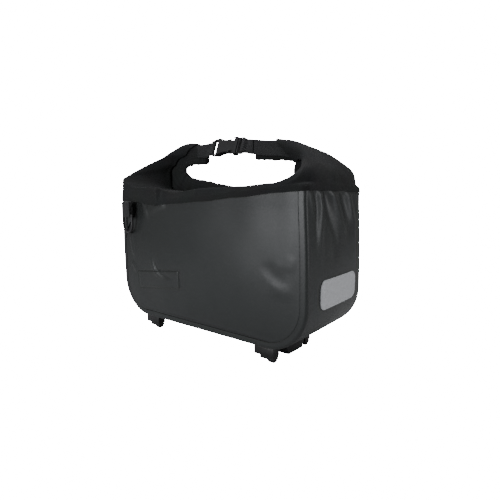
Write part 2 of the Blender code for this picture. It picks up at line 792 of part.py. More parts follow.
def build_ring(name, tab_name, side):
    frame = ring_place(side)
    bend = RING_WIRE / 2 + GAP + WEBBING_THICKNESS / 2
    top = TAB_DROP - 3 * GAP
    line = [(-bend, top), (-bend, 0.0)] + arc((0.0, 0.0), bend, 180.0, 360.0, 8)[1:]
    line.append((bend, top))

    def place(u, v, w):
        return frame @ Vector((w, u, v))

    strip(tab_name, line, TAB_WIDTH, WEBBING_THICKNESS, WEBBING, place)

    half = RING_WIDTH / 2 - RING_WIRE / 2
    straight = TAB_WIDTH / 2 + GAP
    corner = half - straight
    low = RING_HEIGHT - RING_WIRE
    points = [(-straight, 0.0), (straight, 0.0), (half - corner * 0.3, -corner * 0.3), (half, -corner)]
    points += arc((0.0, -(low - half)), half, 0.0, -180.0, 10)
    points += [(-half, -corner), (-half + corner * 0.3, -corner * 0.3)]
    curve = bpy.data.curves.new(name, "CURVE")
    curve.dimensions = "3D"
    curve.bevel_depth = RING_WIRE / 2
    curve.bevel_resolution = 2
    spline = curve.splines.new("POLY")
    spline.points.add(len(points) - 1)
    for node, (u, v) in zip(spline.points, points):
        node.co = (u, 0.0, v, 1.0)
    spline.use_cyclic_u = True
    ring = bpy.data.objects.new(name, curve)
    curve.materials.append(MOULDED)
    BAG.objects.link(ring)
    ring.matrix_world = frame


def build_reflector():
    """A thin rounded plate that follows the right end."""
    radius = REFLECTOR_HEIGHT * 0.30
    half = REFLECTOR_WIDTH / 2
    rows = []
    steps = 8
    for i in range(steps + 1):
        v = REFLECTOR_HEIGHT * (0.5 - 0.5 * math.cos(math.pi * i / steps))
        edge = min(v, REFLECTOR_HEIGHT - v)
        cut = radius - math.sqrt(max(radius ** 2 - max(radius - edge, 0.0) ** 2, 0.0))
        row = []
        for k in range(FACE_STEPS + 1):
            y = REFLECTOR_SHIFT + mix(-half + cut, half - cut, k / FACE_STEPS)
            row.append(end_skin(y, REFLECTOR_LOW + v, GAP + REFLECTOR_THICKNESS))
        rows.append(row)
    shell("reflector", rows, FILM, REFLECTOR_THICKNESS, lambda p: Vector((1.0, 0.0, 0.0)))


def end_skin(y, z, proud):
    """A point outside the right end's skin, by how far it stands proud of it."""
    crown = 1.0 - (y / (HALF_WIDTH - EDGE_RADIUS)) ** 2
    inset = gather(y, z, 1.0) - END_BULGE * crown * math.sin(math.pi * z / SEAM_HEIGHT)
    proud += swell(z)
    if z >= BOTTOM_RADIUS:
        return Vector((HALF_LENGTH - inset + proud, y, BODY_Z + z))
    sine = (BOTTOM_RADIUS - z) / BOTTOM_RADIUS
    cosine = math.sqrt(1 - sine * sine)
    radius = BOTTOM_RADIUS - inset + proud
    return Vector((FLAT_HALF + radius * cosine, y, BODY_Z + BOTTOM_RADIUS - radius * sine))


def bevelled_box(name, low, high, width, material):
    mesh = mesh_from(name, lambda form: box_mesh(form, low, high))
    piece = finish_object(name, mesh, material, 30.0)
    if width:
        edge = piece.modifiers.new("edge", "BEVEL")
        edge.width = width
        edge.segments = 2
    return piece


def build_adapter(name, x):
    """Moulded plate under the body, its two rail seats, and the block between the rack's rails."""
    half = PLATE_LENGTH / 2
    top = BODY_Z - GAP
    low = top - PLATE_THICKNESS
    front, back = PLATE_SHIFT - PLATE_SPAN / 2, PLATE_SHIFT + PLATE_SPAN / 2
    plate = bevelled_box(f"rack_plate_{name}", (x - half, front, low), (x + half, back, top),
                         PLATE_EDGE, MOULDED)
    drop = low - BLOCK_DROP
    span = BLOCK_SPAN / 2
    inset = BLOCK_DROP * BLOCK_SLOPE

    def block(form):
        made = box_mesh(form, (x - half + BLOCK_INSET, -span, drop),
                        (x + half - BLOCK_INSET, span, low + PLATE_EDGE))
        for vert in made:
            if vert.co.z < low:
                vert.co.y -= math.copysign(inset, vert.co.y)
        for way in (-1.0, 1.0):
            middle = way * (span + HOOK_Y - JAW_WIDTH / 2) / 2
            box_mesh(form, (x - half + BLOCK_INSET, middle - SEAT_WIDTH / 2, low - GAP),
                     (x + half - BLOCK_INSET, middle + SEAT_WIDTH / 2, low + PLATE_EDGE))

    tool = bpy.data.objects.new(f"join_block_{name}", mesh_from(f"block_{name}", block))
    CUTTERS.objects.link(tool)
    tool.hide_render = True
    tool.display_type = "WIRE"
    boolean(plate, tool, "UNION")
    jaw_x = x - (PLATE_LENGTH - JAW_LENGTH) / 2
    for label, way in (("front", -1.0), ("back", 1.0)):
        build_hook(f"rack_hook_{name}_{label}", jaw_x, way * HOOK_Y, low - GAP)


def build_hook(name, x, y, top):
    """A jaw under the plate with a lip and a round lobe that hooks under the rack's rail."""
    half = JAW_LENGTH / 2
    low = top - JAW_DROP
    jaw = bevelled_box(name, (x - half, y - JAW_WIDTH / 2, low), (x + half, y + JAW_WIDTH / 2, top),
                       0.0, MOULDED)
    lobe_x = x + LOBE_SHIFT
    lip_low = low - LIP_THICKNESS

    def lip(form):
        right = lobe_x + LOBE_LENGTH / 2
        box_mesh(form, (right - LIP_LENGTH, y - LIP_WIDTH / 2, lip_low),
                 (right, y + LIP_WIDTH / 2, low + LIP_THICKNESS / 2))

    def lobe(form):
        made = bmesh.ops.create_cone(form, cap_ends=True, segments=16, radius1=LOBE_DIAMETER / 2,
                                     radius2=LOBE_DIAMETER / 2, depth=LOBE_LENGTH)["verts"]
        bmesh.ops.rotate(form, verts=made, matrix=Matrix.Rotation(math.pi / 2, 3, "Y"))
        bmesh.ops.translate(form, verts=made, vec=(lobe_x, y, LOBE_DIAMETER / 2))

    for label, build in (("lip", lip), ("lobe", lobe)):
        tool = bpy.data.objects.new(f"join_{label}_{name}", mesh_from(f"{label}_{name}", build))
        CUTTERS.objects.link(tool)
        tool.hide_render = True
        tool.display_type = "WIRE"
        boolean(jaw, tool, "UNION")


clear_scene()
BAG = make_collection("bicycle_trunk_bag")
CUTTERS = make_collection("cutters")
COATED = make_material("coated_fabric_charcoal", (0.040, 0.043, 0.042), 0.42)
WOVEN = make_material("woven_fabric_black", (0.018, 0.018, 0.019), 0.85)
WEBBING = make_material("webbing_black", (0.016, 0.016, 0.016), 0.80)
MOULDED = make_material("moulded_plastic_black", (0.014, 0.014, 0.014), 0.45)
FILM = make_material("reflective_film_silver", (0.34, 0.34, 0.35), 0.35, 0.4)
ROLL_CENTRES, ROLL_HALVES, ROLL_RUNS = roll_line()

build_gusset()
build_panel("front_panel", -1.0)
build_panel("back_panel", 1.0)
build_roll()
build_collar()
build_webbing()
build_buckle()
build_ring("d_ring_front", "ring_tab_front", -1.0)
build_ring("d_ring_back", "ring_tab_back", 1.0)
build_reflector()
build_adapter("left", ADAPTER_LEFT_X)
build_adapter("right", ADAPTER_RIGHT_X)
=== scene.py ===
"""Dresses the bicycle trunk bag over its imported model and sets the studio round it.

Metres, +Z up. The length runs along X, the front faces -Y and the reflector is on the +X end.
Body heights are given from the body's own underside, which stands BagForm.foot above the floor.
"""

import logging
import math
from dataclasses import dataclass, field
from enum import Enum
from typing import Callable, Sequence

import bpy
import numpy as np
from mathutils import Matrix, Vector


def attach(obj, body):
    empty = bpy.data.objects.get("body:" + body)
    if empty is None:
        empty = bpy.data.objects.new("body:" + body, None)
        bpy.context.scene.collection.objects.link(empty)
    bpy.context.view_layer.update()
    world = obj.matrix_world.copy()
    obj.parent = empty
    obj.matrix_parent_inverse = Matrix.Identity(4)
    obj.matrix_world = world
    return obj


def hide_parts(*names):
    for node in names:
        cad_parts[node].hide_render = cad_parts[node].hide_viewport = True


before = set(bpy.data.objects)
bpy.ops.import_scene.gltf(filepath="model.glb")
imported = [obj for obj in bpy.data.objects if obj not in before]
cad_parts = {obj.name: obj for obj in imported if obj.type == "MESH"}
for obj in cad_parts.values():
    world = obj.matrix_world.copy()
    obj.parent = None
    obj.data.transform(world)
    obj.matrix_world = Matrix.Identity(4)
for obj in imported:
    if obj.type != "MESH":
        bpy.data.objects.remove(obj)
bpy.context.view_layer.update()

LOG = logging.getLogger("trunk_bag")
MM = 0.001
# A wave texture at scale 1 repeats after a tenth of pi
WAVE_PERIOD = 0.314
Array = np.ndarray
Point = tuple[float, float]


class Side(Enum):
    """The two big faces of the bag."""

    FRONT = -1.0
    BACK = 1.0


def linear(colour: str, alpha: float = 1.0) -> tuple[float, float, float, float]:
    """Turns an sRGB hex colour to linear.

    Args:
        colour: Six hex digits after a hash sign.
        alpha: Fourth value of the result.

    Returns:
        Red, green, blue and alpha.
    """
    values = [int(colour[i:i + 2], 16) / 255.0 for i in (1, 3, 5)]
    red, green, blue = (v / 12.92 if v <= 0.04045 else ((v + 0.055) / 1.055) ** 2.4 for v in values)
    return red, green, blue, alpha


def mix(low: Array | float, high: Array | float, share: Array | float) -> Array | float:
    """Blends two values by a share from 0 to 1."""
    return low + (high - low) * share


def ease(share: Array | float) -> Array | float:
    """Eases a share in and out, held to 0 and 1 outside that range."""
    held = np.clip(share, 0.0, 1.0)
    return held * held * (3.0 - 2.0 * held)


def read_table(table: Sequence[Sequence[float]], share: Array) -> Array:
    """Reads rows of a table at shares, eased between the rows on either side.

    Args:
        table: Rows whose first column is the share.
        share: Where to read.

    Returns:
        One row of the other columns for each share, in its last axis.
    """
    rows = np.asarray(table, dtype=float)
    held = np.clip(share, rows[0, 0], rows[-1, 0])
    index = np.clip(np.searchsorted(rows[:, 0], held, side="left"), 1, len(rows) - 1)
    low, high = rows[index - 1], rows[index]
    part = ease((held - low[..., 0]) / (high[..., 0] - low[..., 0]))[..., None]
    return mix(low[..., 1:], high[..., 1:], part)


def unevenness(u: Array, v: Array, size: float, seed: int) -> Array:
    """Smooth uneven waves from -1 to 1, the same on each run.

    Args:
        u: First coordinate in metres.
        v: Second coordinate in metres.
        size: Rough width of a wave in metres.
        seed: Which pattern.

    Returns:
        The height of the waves at each place.
    """
    source = np.random.default_rng(seed)
    total = np.zeros_like(u)
    for _ in range(9):
        turn = source.uniform(0.0, math.tau)
        wave = math.tau / (size * source.uniform(0.7, 1.6))
        phase = source.uniform(0.0, math.tau)
        total += np.sin((u * math.cos(turn) + v * math.sin(turn)) * wave + phase)
    return total / 5.0


def spline_through(points: Sequence[Sequence[float]], steps: int) -> Array:
    """Runs a smooth curve through points.

    Args:
        points: The points, of any number of values each.
        steps: Steps between one point and the next.

    Returns:
        The curve's points, one in each row.
    """
    rows = np.asarray(points, dtype=float)
    padded = np.vstack([rows[:1], rows, rows[-1:]])
    t = (np.arange(steps) / steps)[:, None]
    parts = []
    for a, b, c, d in zip(padded, padded[1:], padded[2:], padded[3:]):
        parts.append(0.5 * ((2 * b) + (c - a) * t + (2 * a - 5 * b + 4 * c - d) * t * t
                            + (3 * b - a - 3 * c + d) * t ** 3))
    return np.vstack([*parts, rows[-1:]])


def runs_along(line: Array) -> Array:
    """Length of a line of points from its start to each of them."""
    return np.concatenate([[0.0], np.cumsum(np.linalg.norm(np.diff(line, axis=0), axis=1))])


def bumps(rows: Sequence[Sequence[float]], value: Array) -> Array:
    """Adds up smooth bumps, each given as its middle, its width and its height."""
    return sum(high * np.exp(-((value - middle) / width) ** 2) for middle, width, high in rows)


def unit(vectors: Array) -> Array:
    """Scales vectors in the last axis to length 1."""
    return vectors / np.maximum(np.linalg.norm(vectors, axis=-1, keepdims=True), 1e-12)


def surface_normals(grid: Array) -> Array:
    """Normals of a grid of points.

    Args:
        grid: Points by column and row, with x, y and z last.

    Returns:
        Unit normals, the way of the columns crossed with the way of the rows.
    """
    return unit(np.cross(np.gradient(grid, axis=0), np.gradient(grid, axis=1)))


@dataclass(frozen=True)
class Fold:
    """A ridge or a dent in cloth along a line. Every size is in millimetres.

    Attributes:
        line: Points of the line on the piece's own cloth plane.
        height: How far it stands out, or in where it is negative.
        left: How far it fades to the left of the line, seen along it.
        right: How far it fades to the right.
        start: Share of the line over which it grows from nothing.
        end: Share of the line over which it dies out.
        sharp: Whether the cloth is creased on the line, not rounded.
    """

    line: tuple[Point, ...]
    height: float
    left: float
    right: float
    start: float = 0.25
    end: float = 0.35
    sharp: bool = False

    def relief(self, u: Array, v: Array) -> Array:
        """Height of the fold over the cloth, in metres, at places given in metres."""
        path = spline_through(self.line, 8) * MM
        lengths = runs_along(path)
        nearest = np.full(u.shape, 1e9)
        side = np.zeros(u.shape)
        along = np.zeros(u.shape)
        for k, (a, b) in enumerate(zip(path, path[1:])):
            step = b - a
            size = float(step @ step)
            t = np.clip(((u - a[0]) * step[0] + (v - a[1]) * step[1]) / size, 0.0, 1.0)
            du, dv = u - a[0] - t * step[0], v - a[1] - t * step[1]
            distance = np.hypot(du, dv)
            closer = distance < nearest
            nearest = np.where(closer, distance, nearest)
            side = np.where(closer, step[0] * dv - step[1] * du, side)
            along = np.where(closer, lengths[k] + t * math.sqrt(size), along)
        share = along / lengths[-1]
        reach = np.where(side > 0.0, self.left, self.right) * MM
        away = np.clip(nearest / reach, 0.0, 1.0)
        profile = (1.0 - away) ** 2 * (1.0 + away * 0.5) if self.sharp else 1.0 - ease(away)
        grow = ease(share / self.start) if self.start else 1.0
        fade = ease((1.0 - share) / self.end) if self.end else 1.0
        return self.height * MM * profile * grow * fade


def folded(folds: Sequence[Fold], u: Array, v: Array) -> Array:
    """Adds up folds at places on the cloth, in metres."""
    total = np.zeros(u.shape)
    for fold in folds:
        total += fold.relief(u, v)
    return total


class Modeller:
    """The few modelling steps that the pieces share, each done with Blender's operators."""

    @staticmethod
    def clear_selection() -> None:
        """Deselects every object."""
        bpy.ops.object.select_all(action="DESELECT")

    @staticmethod
    def take(piece: bpy.types.Object) -> None:
        """Makes a piece the only one selected, and active."""
        Modeller.clear_selection()
        piece.select_set(True)
        bpy.context.view_layer.objects.active = piece

    @staticmethod
    def grid(name: str, points: Array, plane: Array, closed: bool = False) -> bpy.types.Object:
        """Adds a grid and lays its vertices on points.

        Args:
            name: Name of the new piece.
            points: Places by column and row, with x, y and z last.
            plane: The cloth's own flat coordinates in metres at the same places, for the weave.
            closed: Whether the last column meets the first.

        Returns:
            The piece, with its faces outwards as the columns crossed with the rows.
        """
        columns, rows = points.shape[0] - 1, points.shape[1] - 1
        Modeller.clear_selection()
        bpy.ops.mesh.primitive_grid_add(x_subdivisions=columns, y_subdivisions=rows, size=1.0)
        piece = bpy.context.active_object
        piece.name = name
        mesh = piece.data
        mesh.name = name
        flat = np.empty(len(mesh.vertices) * 3)
        mesh.vertices.foreach_get("co", flat)
        flat = flat.reshape(-1, 3)
        i = np.rint((flat[:, 0] + 0.5) * columns).astype(int)
        j = np.rint((flat[:, 1] + 0.5) * rows).astype(int)
        mesh.vertices.foreach_set("co", points[i, j].astype(float).ravel())
        corners = np.empty(len(mesh.loops), dtype=int)
        mesh.loops.foreach_get("vertex_index", corners)
        mesh.uv_layers[0].data.foreach_set("uv", plane[i, j][corners].astype(float).ravel())
        mesh.uv_layers[0].name = "cloth"
        mesh.update()
        if closed:
            Modeller.edit(piece, lambda: bpy.ops.mesh.remove_doubles(threshold=0.00002))
        return piece

    @staticmethod
    def edit(piece: bpy.types.Object, *steps: Callable[[], object]) -> None:
        """Does edit mode steps on a piece with all of it selected."""
        Modeller.take(piece)
        bpy.ops.object.mode_set(mode="EDIT")
        bpy.ops.mesh.select_all(action="SELECT")
        for step in steps:
            step()
        bpy.ops.object.mode_set(mode="OBJECT")

    @staticmethod
    def apply(piece: bpy.types.Object, name: str, kind: str, **settings: object) -> None:
        """Adds a modifier with its settings and applies it."""
        Modeller.take(piece)
        modifier = piece.modifiers.new(name, kind)
        for key, value in settings.items():
            setattr(modifier, key, value)
        bpy.ops.object.modifier_apply(modifier=modifier.name)

    @staticmethod
    def smooth(piece: bpy.types.Object, angle: float = 40.0) -> None:
        """Shades a piece smooth, with edges sharper than an angle in degrees left sharp."""
        Modeller.take(piece)
        bpy.ops.object.shade_smooth_by_angle(angle=math.radians(angle))

    @staticmethod
    def cloth(name: str, points: Array, plane: Array, wall: float, angle: float = 50.0,
              closed: bool = False) -> bpy.types.Object:
        """Adds a grid of cloth with a wall inwards, and shades it smooth up to an angle."""
        piece = Modeller.grid(name, points, plane, closed)
        Modeller.apply(piece, "wall", "SOLIDIFY", thickness=wall, offset=-1.0,
                       use_even_offset=False)
        Modeller.smooth(piece, angle)
        return piece

    @staticmethod
    def outline(name: str, points: Sequence[Point], thickness: float) -> bpy.types.Object:
        """Adds a flat shape and pulls it to a thickness along Y.

        Args:
            name: Name of the new piece.
            points: The outline as x and z.
            thickness: How thick it is, half to each side of y 0.

        Returns:
            The piece, with its faces outwards.
        """
        Modeller.clear_selection()
        bpy.ops.mesh.primitive_circle_add(vertices=len(points), radius=1.0, fill_type="NGON")
        piece = bpy.context.active_object
        piece.name = name
        piece.data.name = name
        for vertex, (x, z) in zip(piece.data.vertices, points):
            vertex.co = (x, -thickness / 2, z)
        Modeller.edit(
            piece,
            lambda: bpy.ops.mesh.extrude_region_move(
                TRANSFORM_OT_translate={"value": (0.0, thickness, 0.0)}),
            lambda: bpy.ops.mesh.select_all(action="SELECT"),
            lambda: bpy.ops.mesh.normals_make_consistent(inside=False),
        )
        return piece

    @staticmethod
    def tube(name: str, rings: Array, plane: Array, cyclic: bool = False) -> bpy.types.Object:
        """Adds a closed skin over rings of points.

        Args:
            name: Name of the new piece.
            rings: Points by ring and place round it, with x, y and z last.
            plane: The cloth's own flat coordinates in metres at the same places.
            cyclic: Whether the last ring meets the first, where otherwise both ends are closed.

        Returns:
            The piece, with its faces outwards.
        """
        if cyclic:
            rings = np.concatenate([rings, rings[:1]], axis=0)
            plane = np.concatenate([plane, plane[-1:] + (plane[-1:] - plane[-2:-1])], axis=0)
        else:
            first, last = (np.broadcast_to(ring.mean(axis=0), ring.shape)[None]
                           for ring in (rings[0], rings[-1]))
            rings = np.concatenate([first, rings, last], axis=0)
            plane = np.concatenate([plane[:1], plane, plane[-1:]], axis=0)
        rings = np.concatenate([rings, rings[:, :1]], axis=1)
        plane = np.concatenate([plane, plane[:, -1:]], axis=1)
        piece = Modeller.grid(name, rings, plane)
        Modeller.edit(piece, lambda: bpy.ops.mesh.remove_doubles(threshold=0.00001),
                      lambda: bpy.ops.mesh.select_all(action="SELECT"),
                      lambda: bpy.ops.mesh.normals_make_consistent(inside=False))
        return piece

    @staticmethod
    def block(name: str, low: Sequence[float], high: Sequence[float]) -> bpy.types.Object:
        """Adds a block between two corners, with its place in its mesh."""
        Modeller.clear_selection()
        middle = [(a + b) / 2 for a, b in zip(low, high)]
        size = [b - a for a, b in zip(low, high)]
        bpy.ops.mesh.primitive_cube_add(size=1.0, location=middle)
        piece = bpy.context.active_object
        piece.name = name
        piece.data.name = name
        piece.scale = size
        bpy.ops.object.transform_apply(location=True, rotation=True, scale=True)
        return piece

    @staticmethod
    def combine(piece: bpy.types.Object, tool: bpy.types.Object, operation: str = "DIFFERENCE") -> None:
        """Cuts or joins a piece with a tool, which is then removed."""
        Modeller.apply(piece, tool.name, "BOOLEAN", object=tool, operation=operation, solver="EXACT")
        bpy.data.objects.remove(tool, do_unlink=True)

    @staticmethod
    def plain(piece: bpy.types.Object) -> None:
        """Joins the flat faces that cuts leave split, which they split in another way each run."""
        Modeller.edit(piece, lambda: bpy.ops.mesh.dissolve_limited(angle_limit=math.radians(0.05)))

    @staticmethod
    def rounded(piece: bpy.types.Object, width: float, segments: int = 2, angle: float = 30.0) -> None:
        """Rounds every edge of a piece that is sharper than an angle."""
        Modeller.apply(piece, "edge", "BEVEL", width=width, segments=segments, limit_method="ANGLE",
                       angle_limit=math.radians(angle), use_clamp_overlap=True)

    @staticmethod
    def settle(piece: bpy.types.Object, place: Matrix) -> None:
        """Moves a piece's mesh by a matrix, and leaves its object at the origin."""
        piece.data.transform(place)
        if place.to_3x3().determinant() < 0.0:
            piece.data.flip_normals()
        piece.data.update()


class NodeWork:
    """A material's node tree, with one small call to add a node."""

    def __init__(self, name: str) -> None:
        """Starts a material of that name with a bare Principled shader."""
        self.material = bpy.data.materials.new(name)
        self.material.use_nodes = True
        self.tree = self.material.node_tree
        self.shader = self.tree.nodes["Principled BSDF"]

    def add(self, kind: str, settings: dict | None = None, **links: object) -> bpy.types.Node:
        """Adds a node.

        Args:
            kind: Blender's name of the node's class.
            settings: Its properties.
            links: Values or output sockets for its inputs. Underscores stand for spaces, and
                input_0 means the first input.

        Returns:
            The node.
        """
        node = self.tree.nodes.new(kind)
        for key, value in (settings or {}).items():
            setattr(node, key, value)
        for key, value in links.items():
            place = int(key[6:]) if key.startswith("input_") else key.replace("_", " ")
            self.plug(node.inputs[place], value)
        return node

    def plug(self, socket: bpy.types.NodeSocket, value: object) -> None:
        """Links an output socket to an input, or sets the input's own value."""
        if isinstance(value, bpy.types.NodeSocket):
            self.tree.links.new(value, socket)
        else:
            socket.default_value = value

    def set(self, **values: object) -> None:
        """Sets or links the shader's own inputs."""
        for key, value in values.items():
            self.plug(self.shader.inputs[key.replace("_", " ")], value)


@dataclass(frozen=True)
class CoatedFabric:
    """Polyester with a welded polyurethane coat: satin, faintly grained, cool in its shine."""

    colour: str = "#232626"
    worn: str = "#2a2d2d"
    grain_mm: float = 0.9
    roughness: float = 0.37

    def build(self) -> bpy.types.Material:
        """Makes the material. The coat's grain is under 0.3 mm, drawn coarser so that it shows."""
        work = NodeWork("coated_fabric_charcoal")
        place = work.add("ShaderNodeTexCoord").outputs["Object"]
        tone = work.add("ShaderNodeTexNoise", Vector=place, Scale=1 / 0.060, Detail=3.0)
        tint = work.add("ShaderNodeMix", {"data_type": "RGBA"}, Factor=tone.outputs["Fac"],
                        input_6=linear(self.colour), input_7=linear(self.worn))
        grain = work.add("ShaderNodeTexNoise", Vector=place, Scale=1 / (self.grain_mm * MM),
                         Detail=3.0, Roughness=0.65)
        ripple = work.add("ShaderNodeTexNoise", Vector=place, Scale=1 / 0.022, Detail=2.0)
        small = work.add("ShaderNodeBump", Height=grain.outputs["Fac"], Strength=0.28,
                         Distance=0.00012)
        bump = work.add("ShaderNodeBump", Height=ripple.outputs["Fac"], Strength=0.12,
                        Distance=0.0006, Normal=small.outputs["Normal"])
        matt = work.add("ShaderNodeMapRange", Value=grain.outputs["Fac"], To_Min=self.roughness - 0.05,
                        To_Max=self.roughness + 0.08)
        work.set(Base_Color=tint.outputs[2], Roughness=matt.outputs["Result"],
                 Normal=bump.outputs["Normal"], IOR=1.50)
        return work.material


@dataclass(frozen=True)
class WovenFabric:
    """Black polyester oxford cloth: matt, with a soft sheen and a plain weave."""

    colour: str = "#1f2021"
    # Painted highlight: the lighter colour on the raised thread crossings
    painted_thread_highlight: str = "#2c2d2e"
    thread_mm: float = 0.8
    roughness: float = 0.86

    def build(self) -> bpy.types.Material:
        """Makes the material. The threads are 0.4 mm apart, drawn at twice that so that they show.
        Their raised crossings are painted lighter, a painted highlight on the black weave.
        """
        work = NodeWork("woven_fabric_black")
        cloth = work.add("ShaderNodeTexCoord").outputs["UV"]
        waves = [work.add("ShaderNodeTexWave", {"bands_direction": way, "wave_profile": "SIN"},
                          Vector=cloth, Scale=WAVE_PERIOD / (self.thread_mm * MM), Distortion=0.6,
                          Detail=1.0, Detail_Scale=2.0).outputs["Fac"] for way in ("X", "Y")]
        weave = work.add("ShaderNodeMath", {"operation": "MULTIPLY"}, input_0=waves[0],
                         input_1=waves[1])
        solid = work.add("ShaderNodeTexCoord").outputs["Object"]
        fuzz = work.add("ShaderNodeTexNoise", Vector=solid, Scale=1 / 0.0011, Detail=3.0,
                        Roughness=0.7)
        tone = work.add("ShaderNodeTexNoise", Vector=solid, Scale=1 / 0.035, Detail=3.0)
        both = work.add("ShaderNodeMath", {"operation": "ADD"}, input_0=weave.outputs["Value"],
                        input_1=fuzz.outputs["Fac"])
        # Painted highlight: the weave's raised crossings take the lighter colour
        tint = work.add("ShaderNodeMix", {"data_type": "RGBA"}, Factor=weave.outputs["Value"],
                        input_6=linear(self.colour), input_7=linear(self.painted_thread_highlight))
        cloudy = work.add("ShaderNodeMix", {"data_type": "RGBA", "blend_type": "MULTIPLY"},
                          Factor=0.35, input_6=tint.outputs[2], input_7=tone.outputs["Color"])
        bump = work.add("ShaderNodeBump", Height=both.outputs["Value"], Strength=0.35,
                        Distance=0.00025)
        work.set(Base_Color=cloudy.outputs[2], Roughness=self.roughness, Normal=bump.outputs["Normal"],
                 IOR=1.50, Specular_IOR_Level=0.22, Sheen_Weight=0.07, Sheen_Roughness=0.5)
        return work.material


@dataclass(frozen=True)
class RibbedWebbing:
    """Black polypropylene webbing: ribs across the strap with a herringbone slant."""

    colour: str = "#0f0f10"
    # Painted highlight: the lighter colour on the rib crests of the black webbing
    ridge: str = "#2c2d2f"
    rib_mm: float = 3.0
    roughness: float = 0.60

    def build(self) -> bpy.types.Material:
        """Makes the material, whose ribs follow the strap's own length and width. The rib crests are
        painted lighter and the grooves darker: a painted highlight and painted shade on the ribs.
        """
        work = NodeWork("webbing_black")
        place = work.add("ShaderNodeTexCoord").outputs["UV"]
        parts = work.add("ShaderNodeSeparateXYZ", Vector=place)
        fold = work.add("ShaderNodeMath", {"operation": "PINGPONG"}, input_0=parts.outputs["Y"],
                        input_1=0.011)
        lean = work.add("ShaderNodeMath", {"operation": "ADD"}, input_0=parts.outputs["X"],
                        input_1=fold.outputs["Value"])
        turns = work.add("ShaderNodeMath", {"operation": "MULTIPLY"}, input_0=lean.outputs["Value"],
                         input_1=math.tau / (self.rib_mm * MM))
        rib = work.add("ShaderNodeMath", {"operation": "SINE"}, input_0=turns.outputs["Value"])
        height = work.add("ShaderNodeMapRange", Value=rib.outputs["Value"], From_Min=-1.0, From_Max=1.0)
        # Painted light: the rib crests take the lighter colour as a painted highlight, and the grooves
        # keep the darker one as painted shade
        tint = work.add("ShaderNodeMix", {"data_type": "RGBA"}, Factor=height.outputs["Result"],
                        input_6=linear(self.colour), input_7=linear(self.ridge))
        bump = work.add("ShaderNodeBump", Height=height.outputs["Result"], Strength=1.0,
                        Distance=0.0006)
        work.set(Base_Color=tint.outputs[2], Roughness=self.roughness, Normal=bump.outputs["Normal"],
                 IOR=1.49, Specular_IOR_Level=0.4, Sheen_Weight=0.08)
        return work.material


@dataclass(frozen=True)
class MouldedPlastic:
    """Black acetal or nylon from a spark-eroded mould: half matt, with a fine even grain."""

    name: str = "moulded_plastic_black"
    colour: str = "#2b2b2c"
    grain_mm: float = 0.5
    roughness: float = 0.36

    def build(self) -> bpy.types.Material:
        """Makes the material."""
        work = NodeWork(self.name)
        place = work.add("ShaderNodeTexCoord").outputs["Object"]
        grain = work.add("ShaderNodeTexNoise", Vector=place, Scale=1 / (self.grain_mm * MM),
                         Detail=2.0, Roughness=0.6)
        wear = work.add("ShaderNodeTexNoise", Vector=place, Scale=1 / 0.009, Detail=3.0)
        matt = work.add("ShaderNodeMapRange", Value=wear.outputs["Fac"], To_Min=self.roughness - 0.08,
                        To_Max=self.roughness + 0.10)
        bump = work.add("ShaderNodeBump", Height=grain.outputs["Fac"], Strength=0.25,
                        Distance=0.00008)
        work.set(Base_Color=linear(self.colour), Roughness=matt.outputs["Result"],
                 Normal=bump.outputs["Normal"], IOR=1.48)
        return work.material


@dataclass(frozen=True)
class ReflectiveFilm:
    """Glass-bead reflective film: silver grey with a fine sparkle."""

    colour: str = "#b2b4b7"
    bead: str = "#e4e6e9"
    bead_mm: float = 0.9
    roughness: float = 0.50

    def build(self) -> bpy.types.Material:
        """Makes the material. The beads are under 0.1 mm, drawn coarser so that the sparkle shows."""
        work = NodeWork("reflective_film_silver")
        place = work.add("ShaderNodeTexCoord").outputs["Object"]
        beads = work.add("ShaderNodeTexVoronoi", Vector=place, Scale=1 / (self.bead_mm * MM))
        grain = work.add("ShaderNodeTexNoise", Vector=place, Scale=1 / 0.0016, Detail=3.0)
        tint = work.add("ShaderNodeMix", {"data_type": "RGBA"}, Factor=grain.outputs["Fac"],
                        input_6=linear(self.colour), input_7=linear(self.bead))
        bump = work.add("ShaderNodeBump", Height=beads.outputs["Distance"], Strength=0.3,
                        Distance=0.0001)
        work.set(Base_Color=tint.outputs[2], Roughness=self.roughness, Normal=bump.outputs["Normal"],
                 Metallic=0.25)
        return work.material


class Finishes:
    """The bag's materials, one for each slot of the record."""

    def __init__(self) -> None:
        """Makes them all."""
        self.slots = {
            "coated_fabric_charcoal": CoatedFabric().build(),
            "woven_fabric_black": WovenFabric().build(),
            "webbing_black": RibbedWebbing().build(),
            "moulded_plastic_black": MouldedPlastic().build(),
            "reflective_film_silver": ReflectiveFilm().build(),
        }

    def dress(self, piece: bpy.types.Object, slot: str, body: str, *nodes: str) -> None:
        """Gives a piece its finish and its place in the frame.

        Args:
            piece: The finished piece.
            slot: The record's material slot.
            body: The CAD body that it moves with.
            nodes: CAD nodes that it stands for.
        """
        piece.data.materials.clear()
        piece.data.materials.append(self.slots[slot])
        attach(piece, body)
        if nodes:
            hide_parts(*nodes)
        LOG.info("%s: %d faces on %s", piece.name, len(piece.data.polygons), body)


